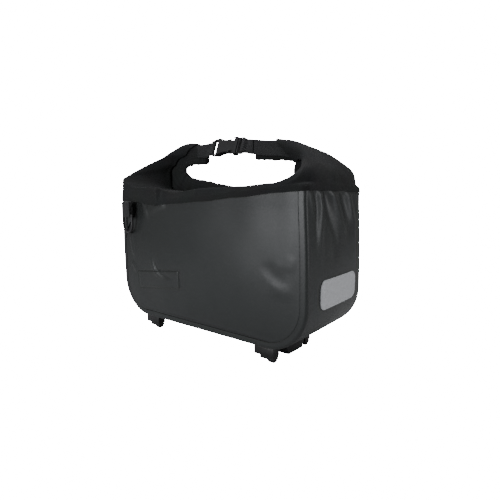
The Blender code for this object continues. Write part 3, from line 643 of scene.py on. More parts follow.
@dataclass(frozen=True)
class BagForm:
    """Sizes and formulas of the bag's body, which every cloth piece shares."""

    length: float = 0.380
    width: float = 0.155
    seam: float = 0.2065
    sag: float = 0.0150
    bottom_radius: float = 0.062
    edge_radius: float = 0.007
    flange: float = 0.010
    pull: float = 0.024
    wall: float = 0.0015
    bulge: float = 0.0050
    end_bulge: float = 0.0020
    side_swell: float = 0.0025
    valley_depth: float = 0.0060
    valley_from: float = 0.62
    flange_from: float = 0.64
    ring_rise: float = 0.30
    gap: float = 0.0003
    hem: float = 0.0060
    foot: float = 0.0340
    sags: tuple = (
        # share of the half loop, share of the sag on the front, share of it on the back
        (0.000, 0.42, 0.42), (0.060, 0.42, 0.40), (0.145, 0.44, 0.32), (0.220, 0.60, 0.39),
        (0.320, 1.00, 0.48), (0.420, 0.88, 0.50), (0.530, 0.72, 0.50), (0.650, 0.44, 0.50),
        (0.780, 0.15, 0.22), (0.850, 0.06, 0.11), (0.900, 0.04, 0.04), (1.000, 0.00, 0.00),
    )

    @property
    def half(self) -> float:
        """Half the length."""
        return self.length / 2

    @property
    def deep(self) -> float:
        """Half the width."""
        return self.width / 2

    @property
    def flat_half(self) -> float:
        """Half the length of the flat bottom."""
        return self.half - self.bottom_radius

    def loop_share(self, x: Array, y: Array) -> Array:
        """How far a place on the seam is from the middle of the left end, as a share."""
        run = x + self.half + np.where(x < 0.0, np.abs(y), self.width - np.abs(y))
        return np.clip(run / (self.length + self.width), 0.0, 1.0)

    def seam_height(self, x: Array, y: Array) -> Array:
        """Height of the collar's lower edge over the body's underside."""
        drops = read_table(self.sags, self.loop_share(x, y))
        return self.seam - self.sag * np.where(y < 0.0, drops[..., 0], drops[..., 1])

    def ring_corner(self, x: Array, y: Array) -> Array:
        """1 on the end of a face that carries a D-ring, otherwise 0."""
        return np.where(x * y > 0.0, 1.0, 0.0)

    def valley(self, x: Array, y: Array, z: Array) -> Array:
        """How far a face is drawn in beside its D-ring."""
        across = (self.half - np.abs(x)) / (self.flange + self.pull)
        profile = np.where(across < 1.0, ease(across), ease(2.2 - across))
        depth = ease((z / self.seam - self.valley_from) / self.ring_rise)
        return self.valley_depth * profile * depth * self.ring_corner(x, y)

    def flange_width(self, z: Array, has_ring: Array) -> Array:
        """Width of the gusset's flange at a height."""
        widening = ease((z / self.seam - self.flange_from) / self.ring_rise)
        return self.flange + self.pull * widening * has_ring

    def face_bulge(self, x: Array, z: Array) -> Array:
        """How far the big faces swell."""
        across = np.clip(np.abs(x) / (self.half - self.flange), 0.0, 1.0)
        top = self.seam - self.sag - 0.006 - self.flange
        up = np.clip((z - self.flange) / top, 0.0, 1.0)
        return self.bulge * (1.0 - across ** 2.6) * np.sin(np.pi * up) ** 0.8

    def swell(self, z: Array) -> Array:
        """How far the ends stand out at a height."""
        return self.side_swell * np.sin(np.pi * np.clip(z / (self.seam - self.sag), 0.0, 1.0))


@dataclass
class Body:
    """The welded body: a gusset round the ends and the bottom, and the two big faces."""

    form: BagForm
    finishes: Finishes
    right_end_folds: tuple[Fold, ...] = (
        # In y and z
        Fold(((-69, 206), (-64, 195), (-59, 184), (-57, 165)), 1.2, 7, 8, 0.0, 0.8),
        Fold(((-43, 206), (-41, 187), (-44, 161), (-47, 138), (-45, 100)), 2.4, 11, 12, 0.0, 0.8),
        Fold(((-13, 206), (2, 183), (15, 159), (24, 130)), 3.0, 12, 14, 0.0, 0.8),
        Fold(((36, 206), (47, 175), (54, 160), (54, 125)), 2.6, 12, 12, 0.0, 0.8),
        Fold(((66, 206), (64, 190), (62, 165)), 1.2, 7, 6, 0.0, 0.8),
        Fold(((-57, 206), (-52, 185), (-56, 163), (-57, 125)), -1.5, 9, 10, 0.0, 0.8),
        Fold(((-28, 206), (-22, 182), (-11, 156), (-8, 140), (-15, 100)), -3.9, 15, 18, 0.0, 0.8),
        Fold(((17, 206), (27, 181), (33, 158), (35, 128)), -3.0, 12, 14, 0.0, 0.8),
    )
    left_end_folds: tuple[Fold, ...] = (
        # In y and z
        Fold(((-40, 206), (-37, 186), (-40, 165), (-38, 140)), 2.6, 8, 8, 0.0, 0.6),
        Fold(((8, 206), (2, 184), (-6, 160)), 3.0, 8, 9, 0.0, 0.6),
        Fold(((48, 206), (44, 186), (46, 168)), 2.2, 7, 7, 0.0, 0.6),
        Fold(((-18, 206), (-16, 184), (-22, 160), (-20, 135)), -3.4, 11, 11, 0.0, 0.6),
        Fold(((28, 206), (24, 182), (20, 160)), -3.0, 10, 10, 0.0, 0.6),
    )
    front_folds: tuple[Fold, ...] = (
        # In x and z
        Fold(((-75, 191), (-90, 187), (-104, 183), (-117, 179)), 1.8, 9, 5, 0.0, 0.5),
        Fold(((-133, 197), (-126, 187), (-118, 178), (-112, 165)), 1.4, 7, 9, 0.0, 0.5),
        Fold(((-125, 197), (-117, 190), (-110, 186)), -1.8, 6, 6, 0.0, 0.5),
        Fold(((-101, 112), (-99, 100), (-94, 89), (-83, 80), (-66, 76), (-46, 76)), -1.5, 9, 5),
        Fold(((-104, 108), (-102, 96), (-97, 86), (-86, 77), (-68, 72)), 1.1, 4, 7),
        Fold(((-164, 92), (-157, 84), (-150, 75)), 1.2, 5, 6),
        Fold(((128, 120), (136, 108), (148, 99), (168, 97)), -0.8, 17, 13, 0.35, 0.4),
        Fold(((136, 88), (148, 83), (163, 82), (176, 86)), 0.5, 13, 16, 0.35, 0.4),
        Fold(((176, 128), (168, 114), (164, 104)), 0.4, 13, 16, 0.35, 0.4),
        Fold(((-168, 150), (-160, 120), (-154, 96)), 1.3, 9, 9),
    )
    plate_low: Point = (-143.0, 51.0)
    plate_high: Point = (-36.0, 76.0)
    plate_raise: float = 0.0010
    plate_slope: float = 0.1
    plate_groove: float = 0.0005
    fine_rows_to: float = 0.094
    groove_depth: float = 0.0004
    groove_width: float = 0.0009
    roll_depth: float = 0.0002
    roll_width: float = 0.020
    calm_edge: float = 0.010
    waves: float = 0.0003
    wave_size: float = 0.075
    flange_tilt: float = 0.00025
    squareness: float = 0.56
    gather_edge: float = 0.012
    gather_top: float = 0.010
    tape: float = 0.0030
    tape_thickness: float = 0.0004

    def end_relief(self, y: Array, z: Array, end: float) -> Array:
        """How far an end's cloth stands out in its gathers."""
        return folded(self.right_end_folds if end > 0.0 else self.left_end_folds, y, z)

    def to_seam(self, x: Array, y: Array, z: Array) -> Array:
        """Draws heights of the upright walls down in proportion, so that they end under the hem."""
        form = self.form
        room = form.seam_height(x, y) + form.hem - form.gap - form.bottom_radius
        return form.bottom_radius + (z - form.bottom_radius) * room / (form.seam + form.hem
                                                                       - form.bottom_radius)

    def gusset_stations(self) -> tuple[Array, Array, Array, Array]:
        """Stations from the left top round the bottom to the right top.

        Returns:
            Outer x and z, the way in as x and z, each station's end, and its run along the strip.
        """
        form = self.form
        top = form.seam + form.hem
        down = np.linspace(top, form.bottom_radius, 84)[:-1]
        turns = np.linspace(0.0, math.pi / 2, 31)
        left = [(-form.half, z, 1.0, 0.0, -1.0) for z in down]
        for turn in turns:
            c, s = math.cos(turn), math.sin(turn)
            left.append((-form.half + form.bottom_radius * (1 - c), form.bottom_radius * (1 - s), c, s,
                         -1.0 if turn < math.pi / 2 - 1e-6 else 0.0))
        flat = [(x, 0.0, 0.0, 1.0, 0.0) for x in np.linspace(-form.flat_half, form.flat_half, 41)[1:-1]]
        right = [(-x, z, -c, s, -end) for x, z, c, s, end in reversed(left)]
        rows = np.array(left + flat + right)
        return rows[:, :2], rows[:, 2:4], rows[:, 4], runs_along(rows[:, :2])

    def gusset_section(self) -> Array:
        """Across the gusset: share of the flange, inset at the edge and y, one row for each line."""
        form = self.form
        half = [(s, form.edge_radius, -form.deep) for s in np.linspace(1.0, 0.0, 7)[:-1]]
        for turn in np.linspace(0.0, math.pi / 2, 11):
            half.append((0.0, form.edge_radius * (1 - math.sin(turn) ** self.squareness),
                         -form.deep + form.edge_radius * (1 - math.cos(turn) ** self.squareness)))
        inner = form.deep - form.edge_radius
        face = [(0.0, 0.0, y) for y in np.linspace(-inner, inner, 81)[1:-1]]
        return np.array(half + face + [(s, inset, -y) for s, inset, y in reversed(half)])

    def gusset_points(self) -> tuple[Array, Array]:
        """Points of the gusset's outer skin and their place on the flat cloth."""
        form = self.form
        spots, inward, ends, run = self.gusset_stations()
        section = self.gusset_section()
        x, z = spots[:, :1], spots[:, 1:]
        end = ends[:, None]
        share, inset, y = (section[None, :, k] for k in range(3))
        y = np.broadcast_to(y, (len(x), len(section)))
        z_here = np.where((z > form.bottom_radius) & (end != 0.0), self.to_seam(x, y, z), z)
        has_ring = form.ring_corner(end, y)
        width = form.flange_width(z_here, has_ring)
        on_flange = share > 0.0
        inset = np.where(on_flange, mix(form.edge_radius, width, share), inset)
        crown = np.where((inset == 0.0) & ~on_flange,
                         1.0 - (y / (form.deep - form.edge_radius)) ** 2, 0.0)
        up = np.clip(z_here / form.seam, 0.0, 1.0)
        rim = ease((form.deep - np.abs(y)) / self.gather_edge)
        relief = sum(np.where(end == way, self.end_relief(y, z_here, way), 0.0)
                     for way in (1.0, -1.0))
        calm = ease((form.seam + 0.004 - z_here) / self.gather_top)
        out = form.end_bulge * crown * np.sin(np.pi * up) + relief * rim * calm
        out = np.where(on_flange | (end == 0.0), 0.0, out)
        px = x + inward[:, :1] * (inset - out) + end * form.swell(z_here)
        pz = z_here + inward[:, 1:] * (inset - out)
        py = np.where(on_flange, y - np.sign(y) * form.valley(px, y, pz), y)
        py = py - np.sign(y) * self.flange_tilt * np.where(on_flange, share, 0.0) * inward[:, :1]
        points = np.stack([px, py, pz + form.foot], axis=-1)
        across = runs_along(section[:, 1:])
        plane = np.stack(np.broadcast_arrays(run[:, None], across[None, :]), axis=-1)
        return points, plane

    def build_gusset(self) -> bpy.types.Object:
        """Makes the strip of cloth round the ends and the bottom."""
        points, plane = self.gusset_points()
        return Modeller.cloth("gusset_cloth", points[:, ::-1], plane[:, ::-1], self.form.wall)

    def face_relief(self, x: Array, z: Array) -> Array:
        """Folds and the bare raised plate on the front."""
        relief = folded(self.front_folds, x, z)
        low, high = np.array(self.plate_low) * MM, np.array(self.plate_high) * MM
        level = z - self.plate_slope * (x - low[0])
        beside = np.minimum(x - low[0], high[0] - x)
        inside = np.minimum(beside, np.minimum(level - low[1], high[1] + 0.0015 - level))
        relief += self.plate_raise * ease((inside + 0.0006) / 0.0014)
        return relief - bumps([(-0.0014, 0.0009, self.plate_groove)], inside)

    def face_points(self, side: Side) -> tuple[Array, Array]:
        """Points of a big face inside the gusset's flanges, and their place on the flat cloth."""
        form, way = self.form, side.value
        radius = form.bottom_radius - form.flange - form.gap
        turns = np.linspace(math.pi / 2, 0.0, 60)
        arc_z = form.bottom_radius - radius * np.sin(turns)
        arc_in = radius * (1 - np.cos(turns))
        straight = np.concatenate([np.linspace(form.bottom_radius, self.fine_rows_to, 40)[1:],
                                   np.linspace(self.fine_rows_to, form.seam + form.hem, 60)[1:]])
        height = np.concatenate([arc_z, straight])[None, :]
        corner = np.concatenate([arc_in, np.zeros(len(straight))])[None, :]
        edge = form.half + form.swell(height) - corner - form.gap
        left = form.flange_width(height, 1.0 if way < 0 else 0.0) - edge
        right = edge - form.flange_width(height, 1.0 if way > 0 else 0.0)
        spread = np.linspace(0.0, 1.0, 131)
        spread = 0.5 - 0.5 * np.cos(math.pi * spread)
        edges = [(x * MM + form.half) / form.length + step
                 for x in (self.plate_low[0], self.plate_high[0])
                 for step in np.linspace(-0.005, 0.005, 9)] if side is Side.FRONT else []
        spread = np.sort(np.concatenate([[0.0, 0.0012], spread[2:-2], [0.9988, 1.0], edges]))
        x = mix(left, right, spread[:, None])
        height = np.broadcast_to(height, x.shape)
        y = np.full(x.shape, way * form.deep)
        z = np.where(height > form.bottom_radius, self.to_seam(x, y, height), height)
        out = form.deep + form.face_bulge(x, z) - form.valley(x, np.full(x.shape, way), z)
        edge_in = np.minimum.reduce([x - left, right - x])
        edge_in = np.minimum(edge_in, np.broadcast_to(height, x.shape) - arc_z[0])
        out -= self.groove_depth * (1.0 - ease(edge_in / self.groove_width))
        out -= self.roll_depth * (1.0 - ease(edge_in / self.roll_width)) ** 1.5
        if side is Side.FRONT:
            out = out + self.face_relief(x, z) * ease(edge_in / self.calm_edge)
        waves = unevenness(x, z, self.wave_size, 3 if side is Side.FRONT else 8)
        out = out + self.waves * waves * ease(edge_in / self.roll_width)
        points = np.stack([x, way * out, z + form.foot], axis=-1)
        return points, np.stack([x, z], axis=-1)

    def build_face(self, side: Side) -> bpy.types.Object:
        """Makes one of the big faces."""
        points, plane = self.face_points(side)
        if side is Side.BACK:
            points, plane = points[::-1], plane[::-1]
        return Modeller.cloth(f"{side.name.lower()}_cloth", points, plane, self.form.wall)

    def build_tape(self, side: Side) -> bpy.types.Object:
        """Makes the tape inside that closes the joint between a face and the gusset's flanges."""
        form, way = self.form, side.value
        points, _ = self.face_points(side)
        edge = np.concatenate([points[0, ::-1], points[1:-1, 0], points[-1]])
        along = unit(np.gradient(edge, axis=0) * np.array([1.0, 0.0, 1.0]))
        away = np.stack([along[:, 2], np.zeros(len(edge)), -along[:, 0]], axis=-1)
        spread = np.linspace(self.tape, -self.tape, 7)
        strip = edge[:, None] + away[:, None] * spread[None, :, None]
        strip[..., 1] -= way * (form.wall + form.gap)
        plane = np.stack(np.broadcast_arrays(runs_along(edge)[:, None], spread[None, :]), axis=-1)
        if side is Side.BACK:
            strip, plane = strip[::-1], plane[::-1]
        return Modeller.cloth(f"{side.name.lower()}_seam_tape", strip, plane, self.tape_thickness)

    def build(self) -> None:
        """Makes and dresses the gusset, the two faces and the tape behind their joints."""
        slot = "coated_fabric_charcoal"
        self.finishes.dress(self.build_gusset(), slot, "bag", "gusset")
        for side in Side:
            self.finishes.dress(self.build_face(side), slot, "bag", f"{side.name.lower()}_panel")
            self.finishes.dress(self.build_tape(side), slot, "bag")


@dataclass
class RollPath:
    """The line that the rolled mouth follows, seen from the front."""

    form: BagForm
    rise: float = 0.0720
    width: float = 0.036
    thickness: float = 0.010
    seat: float = 0.0007
    line: tuple = (
        # x as a share of half the length, z as a share of the rise, width as a share
        (-0.247, 0.945, 0.89), (-0.440, 0.960, 0.92), (-0.575, 0.865, 0.92), (-0.620, 0.610, 0.90),
        (-0.560, 0.350, 0.92), (-0.440, 0.190, 0.96), (-0.280, 0.100, 1.00), (-0.100, 0.000, 1.00),
        (0.100, -0.090, 1.00), (0.310, -0.120, 1.00), (0.500, -0.140, 0.94), (0.675, -0.060, 0.80),
        (0.740, 0.160, 0.74), (0.725, 0.410, 0.72), (0.729, 0.640, 0.70), (0.663, 0.770, 0.72),
        (0.568, 0.825, 0.76), (0.420, 0.862, 0.79), (0.316, 0.905, 0.82),
    )
    centres: Array = field(init=False)
    halves: Array = field(init=False)
    runs: Array = field(init=False)
    outs: Array = field(init=False)

    def __post_init__(self) -> None:
        """Works out the fine line, its half widths, runs and ways out."""
        form = self.form
        rows = [(x * form.half, form.foot + form.seam + z * self.rise, w * self.width / 2)
                for x, z, w in self.line]
        fine = spline_through(rows, 12)
        self.centres = np.stack([fine[:, 0], np.zeros(len(fine)), fine[:, 1]], axis=-1)
        self.halves = fine[:, 2]
        self.runs = runs_along(self.centres)
        last = len(fine) - 1
        high = np.minimum(np.arange(last + 1) + 5, last)
        low = np.maximum(np.arange(last + 1) - 4, 0)
        along = unit(self.centres[high] - self.centres[low])
        self.outs = np.stack([along[:, 2], np.zeros(last + 1), -along[:, 0]], axis=-1)

    def at(self, share: Array) -> tuple[Array, Array, Array]:
        """Centre, way out of the loop and half width at shares of the roll's length."""
        run = np.clip(share, 0.0, 1.0) * self.runs[-1]
        centre = np.stack([np.interp(run, self.runs, self.centres[:, k]) for k in range(3)], axis=-1)
        out = np.stack([np.interp(run, self.runs, self.outs[:, k]) for k in range(3)], axis=-1)
        return centre, unit(out), np.interp(run, self.runs, self.halves)

    def clear(self, points: Array, wall: float) -> Array:
        """Moves cloth points that would meet the roll out to where they leave it room."""
        room = self.thickness / 2 + self.seat + wall
        flat = points.reshape(-1, 3)
        gaps = (flat[:, None, 0] - self.centres[None, :, 0]) ** 2
        gaps += (flat[:, None, 2] - self.centres[None, :, 2]) ** 2
        index = np.argmin(gaps, axis=1)
        out = self.outs[index]
        level = np.einsum("ij,ij->i", flat - self.centres[index], out)
        beyond = level - (self.halves[index] - self.thickness / 2)
        reach = np.hypot(beyond, flat[:, 1])
        push = np.where((beyond > 0.0) & (reach < room), room / np.maximum(reach, 1e-6) - 1.0, 0.0)
        moved = flat + out * (beyond * push)[:, None]
        moved[:, 1] += flat[:, 1] * push
        return moved.reshape(points.shape)


@dataclass
class Collar:
    """Black cloth from the body's seam up to the roll, drawn up to a horn at each end."""

    form: BagForm
    path: RollPath
    finishes: Finishes
    wall: float = 0.0013
    height: float = 0.045
    wrap_left: float = 0.019
    wrap_right: float = 0.009
    shown_left: float = 0.018
    shown_right: float = 0.033
    front: tuple = (
        # share, drop, rise, lean, round, bow, peak, cover
        (0.000, 0.42, 0.90, 0.02, 0.15, 0.44, 0.60, 0.30),
        (0.042, 0.42, 0.90, 0.02, 0.15, 0.38, 0.58, 0.38),
        (0.082, 0.42, 0.90, 0.02, 0.13, 0.32, 0.56, 0.42),
        (0.128, 0.43, 0.92, 0.03, 0.10, 0.24, 0.52, 0.28),
        (0.152, 0.45, 0.84, 0.03, 0.10, 0.16, 0.50, -0.14),
        (0.182, 0.50, 0.68, 0.03, 0.09, 0.09, 0.50, -0.36),
        (0.222, 0.60, 0.54, 0.04, 0.08, 0.04, 0.50, -0.08),
        (0.320, 1.00, 0.62, 0.06, 0.07, 0.01, 0.50, 0.36),
        (0.420, 0.88, 0.38, 0.06, 0.08, -0.05, 0.50, 0.45),
        (0.530, 0.72, 0.44, 0.06, 0.30, -0.06, 0.50, 0.60),
        (0.650, 0.44, 0.34, 0.06, 0.35, -0.04, 0.50, 0.70),
        (0.780, 0.15, 0.28, 0.06, 0.50, 0.02, 0.50, 0.82),
        (0.822, 0.10, 0.44, 0.04, 0.56, 0.11, 0.50, 0.66),
        (0.838, 0.08, 0.48, 0.04, 0.58, 0.13, 0.50, 0.36),
        (0.858, 0.06, 0.53, 0.04, 0.60, 0.17, 0.50, 0.22),
        (0.873, 0.05, 0.56, 0.05, 0.60, 0.19, 0.50, 0.16),
        (0.888, 0.04, 0.59, 0.06, 0.60, 0.22, 0.50, 0.86),
        (0.915, 0.04, 0.61, 0.06, 0.60, 0.26, 0.50, 0.84),
        (0.941, 0.03, 0.62, 0.07, 0.60, 0.29, 0.51, 0.68),
        (0.966, 0.02, 0.62, 0.08, 0.60, 0.31, 0.52, 0.36),
        (0.985, 0.01, 0.62, 0.08, 0.60, 0.31, 0.53, 0.16),
        (1.000, 0.00, 0.62, 0.08, 0.60, 0.31, 0.53, 0.16),
    )
    back: tuple = (
        # share, drop, rise, lean, round, bow, peak, cover
        (0.000, 0.42, 0.90, 0.02, 0.15, 0.44, 0.60, 0.30),
        (0.060, 0.40, 0.90, 0.02, 0.20, 0.34, 0.57, 0.44),
        (0.145, 0.32, 0.70, 0.03, 0.40, 0.16, 0.50, 0.40),
        (0.350, 0.50, 0.46, 0.06, 0.30, -0.02, 0.50, 0.42),
        (0.650, 0.50, 0.42, 0.06, 0.35, -0.04, 0.50, 0.46),
        (0.860, 0.10, 0.66, 0.06, 0.60, 0.22, 0.50, 0.40),
        (0.920, 0.02, 0.66, 0.08, 0.60, 0.30, 0.52, 0.40),
        (1.000, 0.00, 0.62, 0.08, 0.60, 0.31, 0.53, 0.30),
    )
    front_folds: tuple[Fold, ...] = (
        # Run along the seam from the middle of the left end, and climb from the lower edge
        Fold(((173, 30), (178, 18), (181, 5)), 2.6, 12, 3, 0.3, 0.05, True),
        Fold(((183, 27), (187, 18), (188, 6)), -1.8, 4, 12, 0.3, 0.1),
        Fold(((268, 18), (272, 11), (275, 4)), 0.9, 3, 6, 0.3, 0.2, True),
        Fold(((80, 42), (79, 63), (79, 78), (78, 96), (76, 113), (73, 126), (68, 136)),
             1.5, 14, 5, 0.3, 0.1, True),
        Fold(((86, 60), (86, 78), (85, 96), (83, 112), (79, 124)), -0.7, 6, 14, 0.3, 0.2),
        Fold(((108, 78), (118, 62), (130, 46), (136, 36)), 1.0, 9, 9, 0.3, 0.3),
        Fold(((118, 60), (146, 46), (176, 40), (205, 42)), -1.2, 10, 10, 0.3, 0.3),
        Fold(((465, 52), (458, 34), (452, 21), (442, 14), (424, 10)), 1.6, 8, 3, 0.2, 0.3, True),
        Fold(((452, 50), (446, 36), (438, 25), (424, 18)), -2.2, 5, 9, 0.2, 0.3),
    )
    back_folds: tuple[Fold, ...] = (
        Fold(((80, 40), (76, 62), (70, 90), (60, 120)), 1.8, 11, 8, 0.2, 0.2),
        Fold(((190, 30), (196, 18), (200, 7)), 1.2, 5, 9, 0.3, 0.1, True),
        Fold(((300, 28), (306, 16), (308, 6)), 1.0, 5, 8, 0.3, 0.2),
    )
    roof_rows: int = 48
    right_lift: float = 0.0012
    ripple: float = 0.0004
    ripple_size: float = 0.030
    left_round: float = 0.0050
    right_round: float = 0.0150
    plain_round: float = 0.0020

    def stations(self) -> Array:
        """Places of half the seam from the middle of the left end to that of the right end."""
        form = self.form
        proud = form.gap + self.wall
        long, wide, radius = form.half + proud, form.deep + proud, form.edge_radius + proud
        inner = wide - radius
        points = [(-long, y) for y in np.linspace(0.0, inner, 34)[:-1]]
        for turn in np.linspace(0.0, math.pi / 2, 9):
            points.append((-long + radius * (1 - math.cos(turn)), inner + radius * math.sin(turn)))
        front = long - radius
        points += [(x, wide) for x in np.linspace(-front, 0.0, 82)[1:]]
        return np.array(points + [(-x, y) for x, y in reversed(points[:-1])])

    def rim(self, share: Array, way: float, cover: Array) -> Array:
        """Where the cloth ends on the roll, wrapped round its edge near the two tips."""
        length = self.path.runs[-1]
        start, stop = self.shown_left / length, 1.0 - self.shown_right / length
        centre, out, half = self.path.at(mix(start, stop, share))
        deep = self.path.thickness / 2
        room = deep + self.path.seat + self.wall
        run = self.form.length + self.form.width
        wraps = np.minimum(share * run / self.wrap_left, (1.0 - share) * run / self.wrap_right)
        turn = math.pi / 2 * np.minimum(wraps, 1.0)
        inset = (cover * half * 2 - deep) * ease(wraps - 1.0)
        room = room + self.right_lift * ease((share - 0.88) / 0.03)
        level = half - deep + room * np.cos(turn) - inset
        place = centre + out * level[..., None]
        place[..., 1] += way * room * np.sin(turn)
        return place

    def half_cloth(self, side: Side) -> tuple[Array, Array]:
        """Points of the cloth on one side, by station and row, and their flat coordinates."""
        form, way = self.form, side.value
        spots = self.stations()
        x, y = spots[:, 0], spots[:, 1]
        share = form.loop_share(x, y)
        table = read_table(self.front if side is Side.FRONT else self.back, share)
        _, rise, lean, rounding, bow, peak, cover = (table[:, k] for k in range(7))
        drop = table[:, 0]
        foot = np.stack([x, way * y, form.foot + form.seam - form.sag * drop], axis=-1)
        rim = self.rim(share, way, cover)
        toward = rim - foot
        toward[:, 2] = 0.0
        toward = unit(toward)
        up = np.array([0.0, 0.0, 1.0])
        shoulder = foot + self.height * (toward * lean[:, None] + up * rise[:, None])
        hem = foot + up * (form.hem + form.gap + self.wall)
        before = mix(shoulder, hem, rounding[:, None])
        reach = rounding * np.linalg.norm(shoulder - hem, axis=1) * 0.8
        begin = np.clip(reach / np.linalg.norm(rim - shoulder, axis=1), 0.01, 0.6)[:, None]
        t = begin + (1.0 - begin) * np.linspace(0.0, 1.0, self.roof_rows + 1)[None, :]
        skew = np.log(0.5) / np.log(peak)
        lift = (bow * self.height)[:, None] * np.sin(math.pi * t ** skew[:, None])
        roof = mix(shoulder[:, None], rim[:, None], t[..., None]) + lift[..., None] * up
        roof = self.path.clear(roof, self.wall)
        after = roof[:, 0]
        parts = [mix(foot[:, None], hem[:, None], np.linspace(0.0, 1.0, 4)[None, :, None])]
        parts.append(mix(hem[:, None], before[:, None], np.linspace(0.0, 1.0, 11)[None, 1:, None]))
        s = np.linspace(0.0, 1.0, 9)[None, 1:, None]
        parts.append(before[:, None] * (1 - s) ** 2 + shoulder[:, None] * 2 * s * (1 - s)
                     + after[:, None] * s * s)
        parts.append(roof[:, 1:])
        cloth = np.concatenate(parts, axis=1)
        steps = np.linalg.norm(np.diff(cloth, axis=1), axis=-1)
        climb = np.concatenate([np.zeros((len(x), 1)), np.cumsum(steps, axis=1)], axis=1)
        plane = np.stack([np.broadcast_to(runs_along(spots)[:, None], climb.shape), climb], axis=-1)
        return cloth, plane

    def soften(self, points: Array) -> Array:
        """Rounds the closed collar's corners between the hem and the roll, and its right end most.

        Args:
            points: Points by station and row, the first station repeated at the end.

        Returns:
            The points, rounded, with the lower edge and the rim left where they were.
        """
        loop = points[:-1]
        foot = loop[:, 0]
        steps = np.linalg.norm(np.roll(foot, -1, axis=0) - foot, axis=1)
        along = np.concatenate([[0.0], np.cumsum(steps)[:-1]])
        total = steps.sum()
        apart = np.abs(along[:, None] - along[None, :])
        apart = np.minimum(apart, total - apart)
        spread = np.where(foot[:, 0] < -0.12, self.left_round, self.plain_round)
        spread = mix(spread, self.right_round, ease((foot[:, 0] - 0.110) / 0.060))
        weight = np.exp(-0.5 * (apart / spread[:, None]) ** 2)
        weight *= (steps + np.roll(steps, 1))[None, :]
        weight /= weight.sum(axis=1, keepdims=True)
        smooth = np.einsum("ij,jrk->irk", weight, loop)
        rows = np.arange(loop.shape[1])
        held = ease((rows - 1) / 7.0) * ease((rows[-1] - rows) / 16.0)
        loop = mix(loop, smooth, held[None, :, None])
        loop = np.concatenate([loop[:, :14], self.path.clear(loop[:, 14:], self.wall)], axis=1)
        return np.concatenate([loop, loop[:1]], axis=0)

    def build(self) -> None:
        """Makes and dresses the collar."""
        cloths = []
        for side, folds in ((Side.FRONT, self.front_folds), (Side.BACK, self.back_folds)):
            cloth, plane = self.half_cloth(side)
            normals = surface_normals(cloth) * -side.value
            relief = folded(folds, plane[..., 0], plane[..., 1])
            ripple = self.ripple * unevenness(plane[..., 0], plane[..., 1], self.ripple_size, 5)
            rows = np.arange(cloth.shape[1])
            held = ease(rows / 8.0) * ease((rows[-1] - rows) / 4.0)
            cloths.append((cloth, plane, normals * ((relief + ripple) * held[None, :])[..., None]))
        (front, front_plane, front_out), (back, back_plane, back_out) = cloths
        back_plane = back_plane * np.array([-1.0, 1.0])
        points = self.soften(np.concatenate([front, back[::-1][1:]], axis=0))
        points = points + np.concatenate([front_out, back_out[::-1][1:]], axis=0)
        turned = back_plane[::-1][1:].copy()
        turned[..., 0] += 2 * front_plane[-1, 0, 0]
        plane = np.concatenate([front_plane, turned], axis=0)
        piece = Modeller.cloth("collar_cloth", points, plane, self.wall, 60.0, closed=True)
        self.finishes.dress(piece, "woven_fabric_black", "bag", "collar")


@dataclass
class ClosureRoll:
    """The rolled mouth: a flat band bent into a loop, its inner edge puckered."""

    form: BagForm
    path: RollPath
    finishes: Finishes
    pucker: float = 0.0012
    loose: tuple = (
        # share of the length, its spread, how far the cloth hangs out
        (0.182, 0.045, 0.019),
    )
    layers: tuple = (
        # share of the half width, its spread, strength of the step between two layers
        (-0.16, 0.07, 1.0), (-0.60, 0.07, 0.8),
    )
    bends: tuple = (
        # share of the length, its spread, strength of the crumples in the bend
        (0.18, 0.09, 1.0), (0.80, 0.06, 0.9),
    )
    layer_depth: float = 0.0009
    crumple_depth: float = 0.0017
    bend_depth: float = 0.0009
    rest_depth: float = 0.0003
    columns: int = 300
    around: int = 48

    def build(self) -> None:
        """Makes and dresses the roll."""
        share = np.linspace(0.0, 1.0, self.columns + 1)
        centre, out, half = self.path.at(share)
        deep = self.path.thickness / 2
        turn = np.linspace(0.0, math.tau, self.around + 1)
        c, s = np.cos(turn), np.sin(turn)
        level = np.sign(s)[None, :] * (half[:, None] - deep) + deep * s[None, :]
        level = np.where(np.abs(s)[None, :] < 1e-9, 0.0, level)
        loose = bumps(self.loose, share)[:, None]
        level = level + loose * ease(np.clip(level, 0.0, None) / half[:, None])
        run = share[:, None] * self.path.runs[-1]
        inner = np.clip(-s, 0.0, 1.0)[None, :]
        wrinkle = unevenness(run + 0.0 * inner, level * 0.35, 0.011, 21)
        level = level - self.pucker * wrinkle * inner * 0.8
        push = 1.0 + 0.10 * wrinkle * inner
        layers = bumps(self.layers, level / half[:, None])
        bends = bumps(self.bends, share)[:, None]
        crumple = unevenness(run + 0.0 * inner, level * 0.6, 0.014, 31) * bends
        push = push - (self.layer_depth * layers + self.crumple_depth * np.maximum(crumple, -0.5)
                       + self.bend_depth * bends + self.rest_depth) / deep
        points = centre[:, None] + out[:, None] * level[..., None]
        points[..., 1] += (-deep * c)[None, :] * push
        plane = np.stack([np.broadcast_to(run, level.shape),
                          np.broadcast_to(np.cumsum(np.abs(np.gradient(s)))[None, :] * 0.018,
                                          level.shape)], axis=-1)
        piece = Modeller.grid("roll_cloth", points[:, ::-1], plane[:, ::-1])
        Modeller.edit(piece, lambda: bpy.ops.mesh.remove_doubles(threshold=0.00002),
                      lambda: bpy.ops.mesh.select_all(action="DESELECT"),
                      lambda: bpy.ops.mesh.select_non_manifold(),
                      lambda: bpy.ops.mesh.edge_face_add(),
                      lambda: bpy.ops.mesh.select_all(action="SELECT"),
                      lambda: bpy.ops.mesh.normals_make_consistent(inside=False))
        Modeller.smooth(piece, 50.0)
        self.finishes.dress(piece, "woven_fabric_black", "bag", "closure_roll")


